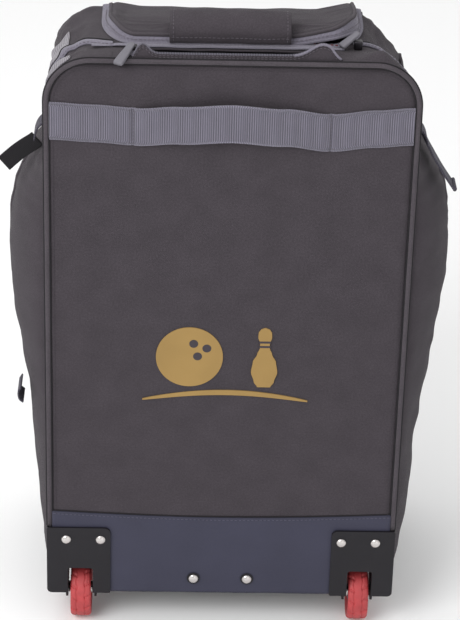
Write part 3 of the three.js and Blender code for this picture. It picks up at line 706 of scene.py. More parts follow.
def grab_handle():
    width = WEB_HIGH[2] - WEB_LOW[2]

    def surface(u, v):
        x = u * 171.5
        tack = bell((abs(x) - TACK_X) / 1.6)
        edge = 1 - abs(2 * v - 1)
        rib = 0.32 * math.sin(2 * math.pi * x / 2.4)
        hump = 0.5 * math.sin(math.pi * v) * (1 if abs(x) < TACK_X - 3 else 0.2)
        depth = -1.7 - web_offset(x) - rib * min(1, edge * 8) - hump + 1.0 * tack
        depth += 0.35 * rough(x, 0, v * 40, 60, 8)
        return x, depth, web_centre(x) + (v - 0.5) * width

    sheet("grab_handle_webbing", surface, steps(-1, 1, 900), [0, 0.015, 0.06] + steps(0.12, 0.88, 14)
          + [0.94, 0.985, 1], WEBBING, "bag", (0, -1, 0), None, 1.5, ["grab_handle"])
    for side in (-1, 1):
        for row, depth in ((0, -2.5), (3.2, -1.9)):
            x = side * (TACK_X + row)
            line = [(x, depth, web_centre(x) + t * width / 2) for t in steps(-0.93, 0.93, 24)]
            stitches(f"handle_tack_{'left' if side < 0 else 'right'}_{int(row > 0)}", line, THREAD, "bag",
                     2.4, 1.2, 0.36)


# ------------------------------------------------------------------ printed emblem
def emblem():
    """A ball with three finger holes beside a pin, printed in gold on the panel."""
    def disc(cx, cz, r, n):
        return [(cx + r * math.cos(a), cz + r * math.sin(a)) for a in steps(0, 2 * math.pi, n)[:-1]]

    def plate(name, outline, lift, material):
        n = len(outline)
        points = [(x, -0.9 - lift, z) for x, z in outline] + [(x, 0.4, z) for x, z in outline]
        faces = [tuple(range(n)), tuple(range(2 * n - 1, n - 1, -1))]
        faces += [(i, i + n, (i + 1) % n + n, (i + 1) % n) for i in range(n)]
        obj = face_outwards(mesh_piece(name, points, faces, material, "bag"))
        obj.data.polygons.foreach_set("use_smooth", [False] * len(obj.data.polygons))

    ball_x, ball_z, ball_r = -36, 318, 33
    plate("emblem_ball", disc(ball_x, ball_z, ball_r, 64), 0.0, GOLD)
    for k, (dx, dz) in enumerate(((4, 15), (17, 10), (8, 1))):
        plate(f"emblem_hole_{k + 1}", disc(ball_x + dx, ball_z + dz, 4.4, 28), 0.15, CLOTH)
    half = [[-33, 6.5], [-27, 10], [-16, 13], [-5, 11.5], [4, 7.4], [11, 4.9], [16, 4.7], [23, 6.8],
            [28, 6.6], [32, 4.3], [33.5, 0.5]]
    pin_x = 38
    right = [(pin_x + along(half, z), ball_z + z) for z in steps(-33, 33.5, 40)]
    left = [(2 * pin_x - x, z) for x, z in reversed(right)]
    plate("emblem_pin", right + left, 0.0, GOLD)
    for k, z in enumerate((ball_z + 11.5, ball_z + 16.5)):
        band = [(pin_x - 5.6, z), (pin_x + 5.6, z), (pin_x + 5.8, z + 2.2), (pin_x - 5.8, z + 2.2)]
        plate(f"emblem_pin_band_{k + 1}", band, 0.15, CLOTH)
    sweep = [(x, 273.5 + 4.75 * math.sin(math.pi * (x + 82) / 164) - 0.0006 * x * x)
             for x in steps(-82, 82, 60)]
    thick = [2.6 * math.sin(math.pi * clamp((x + 84) / 168)) ** 0.5 + 0.2 for x, _ in sweep]
    band = [(x, z + t) for (x, z), t in zip(sweep, thick)]
    band += [(x, z - t) for (x, z), t in reversed(list(zip(sweep, thick)))]
    plate("emblem_sweep", band, 0.0, GOLD)


# ------------------------------------------------------------------ side gusset and its stuffing
LEFT_SIDE = [[54, 178], [85, 184], [133, 188.5], [182, 192.5], [248, 196.5], [300, 205], [347, 211.5],
             [370, 213.5], [400, 214], [438, 213.3], [465, 209], [482, 204], [492, 198], [510, 190],
             [530, 181], [550, 174], [590, 172]]
RIGHT_SIDE = [[54, 179], [85, 187], [120, 193.5], [160, 197], [196, 195.5], [237, 201], [285, 206.5],
              [320, 210.5], [355, 214.5], [385, 217.5], [425, 218], [451, 216.5], [473, 212], [489, 205],
              [508, 195], [535, 183], [560, 175], [590, 173]]
NARROW = {-1: 0.0, 1: 6.0}  # how far the slack cloth falls inwards near the shoulders


TOP_LINE = [(CLOTH_NEAR, TOP_Z - 1.5), (10, TOP_Z), (135, TOP_Z), (240, 580), (258, 550), (262, 540)]


def crown(side, depth, z):
    """Distance from the middle plane to the stuffed side at a depth and height."""
    level = z + 0.53 * max(0.0, depth - 90)  # the stuffing sits lower towards the front
    reach = along(LEFT_SIDE if side < 0 else RIGHT_SIDE, level) - HALF
    rise = ease((depth - 4) / 66) ** 0.62
    fall = ease((CLOTH_FAR - depth) / 95) ** 0.7
    slack = NARROW[side] * smooth((level - 515) / 60) * smooth((depth - 4) / 26)
    return HALF + reach * rise * fall - slack


def side_top(depth):
    """Height of the side cloth's upper edge, under the shoulder's."""
    return top_height(depth) - CORNER - 2


def side_surface(side):
    """u runs forwards from the piping to the front corner, v from the tray up to the shoulder."""
    def surface(u, v):
        depth = CLOTH_NEAR + CLOTH_DEEP * u
        z = CLOTH_FOOT + (side_top(depth) - CLOTH_FOOT) * v
        x = crown(side, depth, z)
        loose = 1.0 if side < 0 else 1.9
        fold = loose * rough(depth, 0, z, 46, 1 + side) + 0.45 * loose * rough(depth, 0, z, 17, 9 + side)
        gather = 1.8 * math.sin(depth / 4.2) * bell((z - 540) / 20) * clamp((70 - depth) / 50)
        x += (fold + gather) * clamp((depth - CLOTH_NEAR) / 14) * clamp((SHELL_FAR - 10 - depth) / 30)
        return side * x, depth, z

    return surface


def sides():
    for name, side in (("left", -1), ("right", 1)):
        us = [t ** 1.5 for t in steps(0, 1, 60)]
        covers = [f"{name}_side_panel", f"{name}_side_pocket"]
        obj = sheet(f"{name}_side_cloth", side_surface(side), us, 120, CLOTH, "bag",
                    (side, 0, 0), None, 2.4, covers, LINING)


def side_point(side, depth, z, off=0.0):
    """A point on the side's cloth, lifted off it by off."""
    v = (z - CLOTH_FOOT) / (side_top(depth) - CLOTH_FOOT)
    x, _, _ = side_surface(side)((depth - CLOTH_NEAR) / CLOTH_DEEP, v)
    return x + side * off, depth, z


def side_pocket_trim():
    """Seams round both side pockets, and the closed zip across each."""
    near, far = POCKET_LOW[1] + 62, POCKET_HIGH[1]
    low, high, r = POCKET_LOW[2] + 14, POCKET_HIGH[2] - 32, 26
    line = arch(near, far, low, high, r, 50, 12, 30)
    turn, zip_z = 150, high - 34
    inset = [(d + (4 if d < turn else -4), z - (4 if z > high - r else 0)) for d, z in line]
    for name, side in (("left", -1), ("right", 1)):
        seam = [side_point(side, d, z, 0.4) for d, z in line]
        tube(f"{name}_pocket_piping", seam, 1.8, PIPING_CLOTH, "bag", 8)
        row = [side_point(side, d, z, 0.3) for d, z in inset]
        stitches(f"{name}_pocket_stitches", row, THREAD, "bag", 3.0, 1.6, 0.33)
        route = [side_point(side, d, zip_z, 0.8) for d in steps(near + 14, far - 14, 90)]
        teeth(f"{name}_pocket_coil", route, (0, 0, 1), 2.4, "bag")
        for k, off in enumerate((-5.0, 5.0)):
            tape = [side_point(side, d, zip_z + off, 0.7) for d in steps(near + 12, far - 12, 90)]
            tube(f"{name}_pocket_tape_{k + 1}", tape, 3.8, TAPE, "bag", 10, flat=0.18,
                 up=(side, 0, 0))


# ------------------------------------------------------------------ shoulders, top and front
def height_at(table, depth):
    """Height at a depth, straight between the (depth, height) pairs of a table."""
    for (d0, z0), (d1, z1) in zip(table, table[1:]):
        if depth <= d1:
            return z0 + (z1 - z0) * (depth - d0) / (d1 - d0)
    return table[-1][1]


def top_height(depth):
    """Height of the top from the piping forwards: flat, then the slope down to the front wall."""
    return height_at(TOP_LINE, depth)


def shoulder_surface(side):
    """u runs from the lid's seam out over the corner and down to the side; v runs forwards."""
    flat, arc, hem = 20.0, CORNER * math.pi / 2, 12
    length = flat + arc + hem
    right = side > 0

    def surface(u, v):
        depth = CLOTH_NEAR + CLOTH_DEEP * v
        top = top_height(depth)
        s = u * length
        r = crown(side, depth, top - CORNER) - SEAM_X
        if s < flat:
            x, z, nx, nz = SEAM_X - flat + s, top, 0.0, 1.0
        elif s < flat + arc:
            a = (s - flat) / CORNER
            nx, nz = math.sin(a), math.cos(a)
            x, z = SEAM_X + r * nx, top - CORNER + CORNER * nz
        else:
            z = top - CORNER - (s - flat - arc)
            x, nx, nz = crown(side, depth, z), 1.0, 0.0
        near = clamp((depth - 4) / 16)
        sag = 7.5 * math.sin(math.pi * clamp((depth - 8) / 150))
        sag *= math.sin(math.pi * clamp(s / (length * 0.8)))
        crease = 3.4 * rough(depth * 0.7 + s * 0.5, 0, s - depth * 0.6, 26 if right else 20, 5 + side)
        crease += 1.0 * rough(depth, s, 0, 11, 12 + side)
        hump = 9.0 * right * bell((x - 136) / 11) * bell((depth - 15) / 9)
        droop = 12.0 * right * smooth((depth - 30) / 80) * math.sin(math.pi * clamp(s / length))
        off = (crease * near - sag - droop) * clamp(u * (5 if right else 2.5)) + hump
        return side * (x + nx * off), depth, z + nz * off

    return surface


def shoulder_point(side, u, depth):
    return shoulder_surface(side)(u, (depth - CLOTH_NEAR) / CLOTH_DEEP)


def shoulders():
    for name, side in (("left", -1), ("right", 1)):
        vs = [t ** 1.3 for t in steps(0, 1, 90)]
        obj = sheet(f"{name}_shoulder_cloth", shoulder_surface(side), 70, vs, TOP_CLOTH_PAINTED_SHADE,
                    "bag", (side, 0, 1), None, 2.0, (), LINING)


def top_cloth():
    """The top's middle, with the handle's mouth and the lid's opening cut out of it."""
    half, deep = SEAM_X - 6, 247

    def surface(u, v):
        x, depth = u * half, CLOTH_NEAR + deep * v
        z = top_height(depth) + 0.7 * rough(x, depth, 0, 24, 4) * clamp((depth - 6) / 10)
        z += 2.5 * bell((x - 96) / 16) * bell((depth - 16) / 12)
        return x, depth, z - (1.5 if abs(u) > 0.97 else 0)

    def opening(u, v):
        x, depth = abs(u) * half, CLOTH_NEAR + deep * v
        in_mouth = x < MOUTH_HALF and MOUTH_NEAR < depth < MOUTH_FAR
        return in_mouth or (x < OPENING_HALF and OPENING_NEAR < depth < OPENING_FAR)

    vs = [0, 0.008, 0.0202, 0.021, 0.0971, 0.098, 0.1822, 0.1823] + steps(0.11, 0.18, 6) + steps(0.2, 1, 70)
    us = steps(-1, 1, 80) + [s * x / half for s in (-1, 1) for x in (MOUTH_HALF, OPENING_HALF)]
    sheet("top_cloth", surface, sorted(set(us)), sorted(set(vs)), TOP_CLOTH_PAINTED_SHADE, "bag", (0, 0, 1),
          opening, 1.8, ["top_panel"], LINING)


def front_cloth():
    def surface(u, v):
        z = CLOTH_FOOT + (564 - CLOTH_FOOT) * v
        slope = clamp((z - 540) / 24)
        limit = SEAM_X + math.sqrt(max(0.0, CORNER ** 2 - max(0.0, z - 522) ** 2))
        x = u * limit
        depth = SHELL_FAR - 12 * slope - 12 * clamp((abs(x) - limit + 14) / 14) ** 2
        return x, depth + 0.8 * rough(x, 0, z, 50, 2) * clamp((limit - abs(x)) / 20), z

    sheet("front_cloth", surface, steps(-1, 1, 70), 90, CLOTH, "bag", (0, 1, 0),
          None, 2.4, ["front_panel"], LINING)


FRONT_ZIP_Z = 415.0


def front_pocket():
    half = FRONT_POCKET_HIGH[0]
    low, high = FRONT_POCKET_LOW[2], FRONT_POCKET_HIGH[2]
    deep = FRONT_POCKET_HIGH[1] - SHELL_FAR

    def height(x, z):
        across = ease((half - abs(x)) / 60) ** 0.7
        low_end = ease((z - low) / 70) ** 0.7
        high_end = ease((high - z) / 46) ** 0.7
        return (deep - 1.5) * across * low_end * high_end

    def surface(u, v):
        x, z = u * half, low + (high - low) * v
        h = height(x, z)
        fold = 1.4 * rough(x, 0, z, 38, 11) + 0.7 * rough(x, 0, z, 15, 14)
        groove = 1.6 * bell((z - FRONT_ZIP_Z) / 4.5) if abs(x) < half - 18 else 0
        return x, SHELL_FAR - 1 + h + (fold * clamp(h / 8)) - groove, z

    obj = sheet("front_pocket_cloth", surface, steps(-1, 1, 90), 130, CLOTH, "bag",
                (0, 1, 0), None, 2.0, ["front_pocket"], LINING)
    xs = steps(-half + 18, half - 18, 110)
    route = [(x, SHELL_FAR - 1 + height(x, FRONT_ZIP_Z) - 0.3, FRONT_ZIP_Z) for x in xs]
    for k, off in enumerate((-5.5, 5.5)):
        tape = [(x, d + 0.6, z + off) for x, d, z in route]
        tube(f"front_zip_tape_{k + 1}", tape, 4.2, TAPE, "bag", 10, flat=0.16, up=(0, 1, 0))
    teeth("front_zip_coil", route, (0, 0, 1), 2.6, "bag")
    edge = [(-half + 4, z) for z in steps(low + 4, high - 4, 60)]
    edge += [(x, high - 4) for x in steps(-half + 4, half - 4, 50)]
    edge += [(half - 4, z) for z in steps(high - 4, low + 4, 60)]
    row = [(x, SHELL_FAR - 0.4 + height(x, z), z) for x, z in edge]
    stitches("front_pocket_stitches", row, THREAD, "bag", 3.0, 1.6, 0.35)


# ------------------------------------------------------------------ handle mouth
def mouth_trim():
    """Zip tape and coil round the mouth, and the loose flap along its near edge."""
    near = MOUTH_NEAR - 2

    def rim(x):
        """Height of the near flap: low in the middle, with a peak at each end."""
        left = 9.5 * bell((x + 84.6) / 7)
        right = 12.0 * bell((x - 82.6) / 15)
        fade = clamp((104 - x) / 14) * clamp((x + 98) / 8)
        return TOP_Z + (5.2 + left + right) * fade - 1.0

    def flap(u, v):
        x = -99 + 204 * u
        z = TOP_Z - 2 + (rim(x) - TOP_Z + 2) * v
        return x, near - 2.6 + 2.0 * v + 0.5 * rough(x, 0, z, 12, 3), z

    sheet("mouth_flap_cloth", flap, 150, 8, TOP_CLOTH_PAINTED_SHADE, "bag",
          (0, -1, 0.3), None, 1.3, ["mouth_flap"])
    for k, drop in enumerate((1.6, 3.4)):
        row = [(x, near - 1.6 - 0.15 * drop, rim(x) - drop) for x in steps(-95, 100, 140)]
        stitches(f"flap_stitches_{k + 1}", row, THREAD, "bag", 2.4, 1.4, 0.3)
    top = [(x, near - 0.4, rim(x) + 0.2) for x in steps(-94, 98, 140)]
    teeth("near_mouth_coil", top, (0, 0.8, 0.5), 1.5, "bag", 1.5, 0.55)
    edge = [(x, near - 1.0, rim(x) - 0.3) for x in steps(56, 100, 60)]
    tube("mouth_flap_edge", edge, 1.2, TAPE, "bag", 8)

    def far_edge(depth, x0, x1, n):
        return [(x, depth, TOP_Z + 1.6 + 1.2 * rough(x, 0, 0, 30, 7)) for x in steps(x0, x1, n)]

    teeth("far_mouth_coil", far_edge(MOUTH_FAR + 1.5, -88, 92, 120), (0, 0.9, 0.3), 1.4, "bag", 1.5, 0.5)
    tube("far_mouth_tape", far_edge(MOUTH_FAR + 3.9, -133, 104, 130), 3.4, TAPE, "bag", 10,
         flat=0.14, up=(0, 0, 1))
    loop = [(-92 - 3 * math.sin(a), 17 - 10 * math.cos(a), TOP_Z + 1.5) for a in steps(0, math.pi, 14)]
    tube("mouth_end_tape", loop, 3.2, TAPE, "bag", 10, flat=0.3, up=(0, 0, 1))


# how far behind the panel each tape lies, from the lid's seam out and down
TAPE_LINE = {-1: [[0, 34], [0.3, 46], [0.55, 55], [0.8, 47], [1, 40]],
             1: [[0, 42], [0.25, 54], [0.6, 42], [1, 30]]}


def shoulder_tapes():
    """Zip tape from the lid's near corners over both shoulders, each with a strip of painted shade along
    its far edge, and two patches of light mesh cloth on the left, the nearer one a painted highlight.
    """
    for name, side, wide in (("left", -1, 12), ("right", 1, 9)):
        def arc(u, v, side=side, wide=wide):
            x, depth, z = shoulder_point(side, u, along(TAPE_LINE[side], u) + wide * (v - 0.5))
            lift = 1.8 + 1.6 * math.sin(math.pi * v)
            lean = smooth(u / 0.8)
            return x + side * lift * lean, depth, z + lift * (1 - 0.7 * lean)

        sheet(f"{name}_shoulder_tape", arc, 90, 8, TAPE, "bag",
              (side, 0, 1), None, 1.4)
        far = [arc(u, 1.12) for u in steps(0, 1, 80)]
        # A thin dark strip along the tape's far edge stands for the shade there: painted shade.
        tube(f"{name}_shoulder_tape_shade", far, 1.5, SHADOW_CLOTH, "bag", 8)
        near = [(x, d, z + 0.4) for x, d, z in (arc(u, 0.15) for u in steps(0, 1, 90))]
        stitches(f"{name}_shoulder_stitches", near, THREAD, "bag", 2.6, 1.5, 0.3)

    def far_patch(u, v):
        x, depth, z = shoulder_point(-1, 0.52 + 0.46 * u, 61 + 37 * v)
        return x - 1.2, depth, z + 1.4

    # Light cloth laid where the lit shoulder shows fold highlights between the tape and the piping: painted
    # highlight.
    def near_highlight_patch(u, v):
        wide = math.sin(math.pi * clamp(u * 0.9 + 0.1))
        x, depth, z = shoulder_point(-1, 0.42 + 0.48 * u, 14 + 17 * v * wide)
        return x - 1.2, depth, z + 1.4

    for name, patch in (("far", far_patch), ("near", near_highlight_patch)):
        sheet(f"left_shoulder_patch_{name}", patch, 40, 16, MESH_CLOTH_AND_HIGHLIGHT, "bag",
              (-1, 0, 1), None, 1.2)


# ------------------------------------------------------------------ lid
CROWN = [(40, 642), (60, 646), (85, 646.5), (110, 643), (140, 635.8), (200, 606), (240, 585), (258, 566),
         (268, 556)]
FOOT = [(40, 633), (135, 632.6), (240, 580.5), (258, 551), (268, 548)]
LID_FACE_DROP = 2.4  # the rim's head lies this far below the crown
LID_LEAN = 3.5  # the rim leans in by this much from its foot to its head
LID_R, LID_RD = 30.0, 56.0  # the lid's rounded near corners, across and in depth


def lid_lift(x, depth):
    """The zip is open at the near right corner, where the lid stands up."""
    return 9.0 * smooth((x - 48) / 62) * smooth((95 - depth) / 60)


def lid_half(depth):
    """Half the width of the lid's cloth at a depth, inside its leaning rim."""
    half, near, deep = LID_HALF - LID_LEAN, LID_NEAR + LID_LEAN, LID_RD - LID_LEAN
    share = clamp((near + deep - depth) / deep)
    return half - (LID_R - LID_LEAN) * (1 - math.sqrt(1 - share * share))


def lid_puff(x, depth):
    """The stuffed lid rounds over along its left edge and stands up along its right one."""
    if x > 0:
        return 3.2 * (x / LID_HALF) ** 4 * clamp((230 - depth) / 60)
    room = 0.55 * max(0.0, height_at(CROWN, depth) - LID_FACE_DROP - height_at(FOOT, depth))
    return -room * (x / LID_HALF) ** 6 * smooth((depth - LID_NEAR - 15) / 60)


def lid_corner(out):
    """The lid's outline round its near right corner, moved outwards by out."""
    return [(LID_HALF - LID_R + out + LID_R * math.sin(a), LID_NEAR + LID_RD - out - LID_RD * math.cos(a))
            for a in steps(0, math.pi / 2, 24)]


def lid():
    def dome(x, depth):
        edge = min(lid_half(depth) - abs(x), depth - LID_NEAR - LID_LEAN, 266 - depth)
        puff = lid_puff(x, depth) - 1.2 * clamp(edge / 30)
        fold = 1.3 * rough(x, depth, 0, 30, 21) * clamp(edge / 12)
        return height_at(CROWN, depth) + puff - 2.2 * math.exp(-edge / 4) + fold + lid_lift(x, depth)

    def top(u, v):
        near = LID_NEAR + LID_LEAN
        depth = near + (267 - near) * v
        x = u * lid_half(depth)
        return x, depth, dome(x, depth)

    def held(x, depth):
        sleeve = SLEEVE_LOW[0] - 4 < x < SLEEVE_HIGH[0] + 4 and depth < 66
        return sleeve or min(lid_half(depth) - abs(x), depth - LID_NEAR - LID_LEAN, 262 - depth) < 5

    us = [math.sin(math.pi / 2 * t) for t in steps(-1, 1, 80)]
    vs = [t ** 1.3 for t in steps(0, 1, 110)]
    soft_top = settled(top, us, vs, held, 0.008, 4.0)
    cover = sheet("lid_cloth", soft_top, us, vs, TOP_CLOTH_PAINTED_SHADE, "lid", (0, 0, 1), None, 2.6,
                  ["lid_panel"], LINING)

    straight = LID_HALF - LID_R
    right = lid_corner(0.0) + [(LID_HALF, d) for d in steps(LID_NEAR + LID_RD, 262, 60)[1:]]
    outline = [(-x, d) for x, d in reversed(right)]
    outline += [(x, LID_NEAR) for x in steps(-straight, straight, 60)] + right
    outline = [p for i, p in enumerate(outline) if i == 0 or p != outline[i - 1]]
    normals = []
    for i, _ in enumerate(outline):
        a, b = outline[max(i - 1, 0)], outline[min(i + 1, len(outline) - 1)]
        t = Vector((b[0] - a[0], b[1] - a[1])).normalized()
        normals.append((t.y, -t.x))

    def band(u, v):
        i = min(int(u * (len(outline) - 1) + 0.5), len(outline) - 1)
        (x, depth), (nx, ny) = outline[i], normals[i]
        foot = height_at(FOOT, depth) + lid_lift(x, depth)
        head = height_at(CROWN, depth) - LID_FACE_DROP + lid_lift(x, depth) + lid_puff(x, depth)
        out = 1.4 * math.sin(math.pi * v) + 0.4 * rough(x, depth, v * 9, 18, 17) + 1.0 - (LID_LEAN + 1) * v
        return x + nx * out, depth + ny * out, foot + (head - foot) * v

    n = len(outline) - 1
    sheet("lid_rim", band, n, 8, TAPE, "lid",
          lambda p: (p[0], p[1] - 150, 0), None, 2.0, ["lid_gusset"])

    def edge(share, off):
        line = []
        for i, (nx, ny) in enumerate(normals):
            x, depth, z = band(i / n, share)
            line.append((x + nx * off, depth + ny * off, z))
        return line

    tube("lid_piping", edge(1.0, 0.6), 1.9, PIPING_CLOTH, "lid", 10)
    tube("lid_foot_binding", edge(0.0, 0.3), 1.4, TAPE, "lid", 8)
    visible = [p for p in edge(0.5, 1.2) if p[1] < 120]
    stitches("lid_rim_stitches", visible, THREAD, "lid", 2.6, 1.5, 0.33)
    red = [(x, LID_NEAR + 3 - 0.15 * (x - 62), TOP_Z + 2.2) for x in steps(62, 100, 20)]
    stitches("slit_stitches", red, RED_THREAD, "bag", 2.6, 1.6, 0.45)


def lid_base_tape():
    """The half of the lid's zip that stays on the bag."""
    half = [(x, LID_NEAR - 1) for x in steps(0, LID_HALF - LID_R, 30)[:-1]] + lid_corner(1.0)
    half += [(LID_HALF + 1, d) for d in steps(LID_NEAR + LID_RD, 240, 50)[1:]]
    line = [(-x, d) for x, d in reversed(half[1:])] + half
    path = [(x, d, top_height(d) + 1.0) for x, d in line]
    tube("lid_zip_tape", path, 4.6, TAPE, "bag", 10, flat=0.2, up=(0, 0, 1))
    coil = [(x * 0.985, d + 2.2, z + 0.6) for x, d, z in path]
    teeth("lid_zip_coil", coil, (0.35, 0.9, 0.1), 1.3, "bag", 1.6, 0.55)


def haul_handle():
    x0, x1 = SLEEVE_LOW[0], SLEEVE_HIGH[0]
    loop = spline([(41.5, 637.5), (37, 634.4), (33.9, 637.5), (33.2, 646), (37.5, 653.8), (45.5, 658.6),
                   (56, 660.4), (61.5, 656), (62.5, 646)], 60)

    def surface(u, v):
        i = min(int(v * 59 + 0.5), 59)
        d, z = loop[i]
        x = x0 + (x1 - x0) * u
        end = math.exp(-min(x - x0, x1 - x) / 7)
        fold = 0.7 * rough(x, d * 2, z, 20, 31) + 0.3 * rough(x, d, z, 8, 33)
        slack = 1.4 * math.sin(math.pi * u)
        rise = slack * (1 if v > 0.3 else 0.2) + fold - 1.5 * end * (v > 0.5)
        return x, d - 0.8 * end + 0.4 * fold, z + rise

    sheet("haul_handle_cloth", surface, 80, 59, TOP_CLOTH_PAINTED_SHADE, "lid",
          (0, -1, 0.6), None, 2.4, ["haul_handle"], LINING)
    for k, share in enumerate((0.16, 0.3, 0.93)):
        row = [(x, d - 0.35, z + 0.1) for x, d, z in (surface(u, share) for u in steps(0.01, 0.99, 80))]
        stitches(f"haul_stitches_{k + 1}", row, THREAD, "lid", 2.8, 1.5, 0.33)
    for k, u in enumerate((0.03, 0.97)):
        row = [(x, d - 0.3, z + 0.35) for x, d, z in (surface(u, v) for v in steps(0.1, 0.95, 50))]
        stitches(f"haul_end_stitches_{k + 1}", row, THREAD, "lid", 2.6, 1.5, 0.33)


# ------------------------------------------------------------------ lashing straps and anchors
def folded(name, path, count, near, wide, outward, thick, ripple=0.0, across=8, replaces=()):
    """Slate webbing along a path of (x, z) points, spread out in depth."""
    line = spline(path, count)

    def surface(u, v):
        x, z = line[min(int(u * (count - 1) + 0.5), count - 1)]
        return x, near + wide * v, z + ripple * rough(x, v * 20, z, 14, 3)

    sheet(name, surface, count - 1, across, SLATE_WEBBING, "bag",
          outward, None, thick, replaces)


def straps():
    def flat_strap(u, v):
        w = (v - 0.5) * 17
        cx, cz = -188 - 29 * u, 533 - 24 * u
        z = cz - 0.771 * w + 1.2 * math.sin(math.pi * clamp(u))
        return cx + 0.637 * w, 31 + 0.8 * math.sin(3 * u), z

    sheet("left_strap_webbing", flat_strap, steps(-0.12, 1, 60), 10, DARK_WEBBING, "bag",
          (0, -1, 0), None, 1.6, ["left_lashing_strap"])
    hanging = [(175, 556), (181, 552), (186, 543), (195, 526), (207, 506), (217, 491)]
    folded("right_strap_webbing", hanging, 50, 28, 22, (1, -0.2, 0.6), 1.8, 0.5, 10,
           ["right_lashing_strap"])
    hem = [(217, d, 491.5) for d in steps(28.2, 49.8, 12)]
    tube("right_strap_hem", hem, 2.6, SLATE_WEBBING, "bag", 12, flat=0.8)
    for name, side in (("left", -1), ("right", 1)):
        path = [(side * x, z) for x, z in ((174, 557), (179, 558), (184, 553), (187, 546), (188, 540))]
        folded(f"{name}_strap_anchor", path, 30, 18, 24, (side, 0, 0.5), 1.5)
    low_tab = [(-204, 268), (-207, 262), (-206, 254), (-202, 250)]
    folded("left_low_tab", low_tab, 20, 22, 28, (-1, 0, 0), 1.5)


# ------------------------------------------------------------------ hardware
def hardware():
    """The moulded and metal parts keep the CAD's own shapes, with softened edges."""
    def plastic(name, node, width, segments=2, body="bag"):
        rounded_copy(name, node, BLACK, body, width, segments)

    for side in ("left", "right"):
        for part in ("guard_rivet_inner", "guard_rivet_outer", "base_rivet"):
            rivet(f"{side}_{part}")
        plastic(f"{side}_guard", f"{side}_corner_guard", 1.5, 4)
        plastic(f"{side}_housing", f"{side}_wheel_housing", 0.5)
        plastic(f"{side}_foot_block", f"{side}_foot", 1.5, 3)
        plastic(f"{side}_washer", f"{side}_base_washer", 0.3)
        wheel(side)
        for node, body in (("outer_tube", "bag"), ("middle_tube", "handle_middle"),
                           ("inner_tube", "handle_inner")):
            rounded_copy(f"{side}_{node}_metal", f"{side}_{node}", ALUMINIUM, body, 0.25)
    plastic("tray", "bottom_tray", 1.2, 3)
    plastic("handle_foot", "handle_base", 1.0)
    plastic("handle_collar", "handle_bezel", 1.0)
    plastic("pull_grip", "handle_grip", 2.2, 4, "handle_inner")
    rounded_copy("button_cap", "release_button", PULL_GREY, "button", 1.0, 3)
    rounded_copy("divider_board", "divider_panel", LINING, "bag", 0.6)
    rounded_copy("ball_cup_foam", "ball_cup", FOAM, "bag", 3.0, 3)
    for name in ("mouth", "lid", "front"):
        rounded_copy(f"{name}_slider_metal", f"{name}_zip_slider", DARK_METAL, f"{name}_slider",
                     1.2, 3)
    tab("mouth", (-94.3, 18, 641), (-107.6, -10.2, 631.6))
    tab("lid", (117.5, 38, 647.5), (101, 30, 636.2))
    tab("front", (-79.5, 288.8, FRONT_ZIP_Z), (-79.5, 288.8, 388.2), (0, 1, 0))


def tab(name, start, end, up=(0, 0, 1)):
    """A moulded zip pull: a narrow neck that widens to a broad, nearly flat end."""
    a, b = np.array(start), np.array(end)
    path = [tuple(a + (b - a) * t) for t in steps(0, 1, 24)]
    shape = [[0, 2.2], [0.1, 3.7], [0.3, 3.9], [0.6, 4.6], [0.9, 4.9], [0.97, 4.8], [1, 4.4]]
    tube(f"{name}_pull_tab", path, lambda t: along(shape, t), PULL_GREY, f"{name}_pull", 24,
         flat=0.42, up=up, replaces=[f"{name}_zip_pull"], square=0.5)


def rivet(node):
    """A domed head on a short shank."""
    low, high = span(node)
    x, z = (low[0] + high[0]) / 2, (low[2] + high[2]) / 2
    face = low[1] + 2.4
    dome = [(r, low[1] + d) for r, d in ((0, 0), (1.4, 0.08), (2.8, 0.38), (4.0, 1.0), (4.7, 1.7))]
    shank = [(5, face - 0.3), (5, face), (2.15, face), (2.15, high[1]), (0, high[1])]
    turned(f"{node}_head", dome + shank, "depth", (x, 0, z), STEEL, "bag", [node])


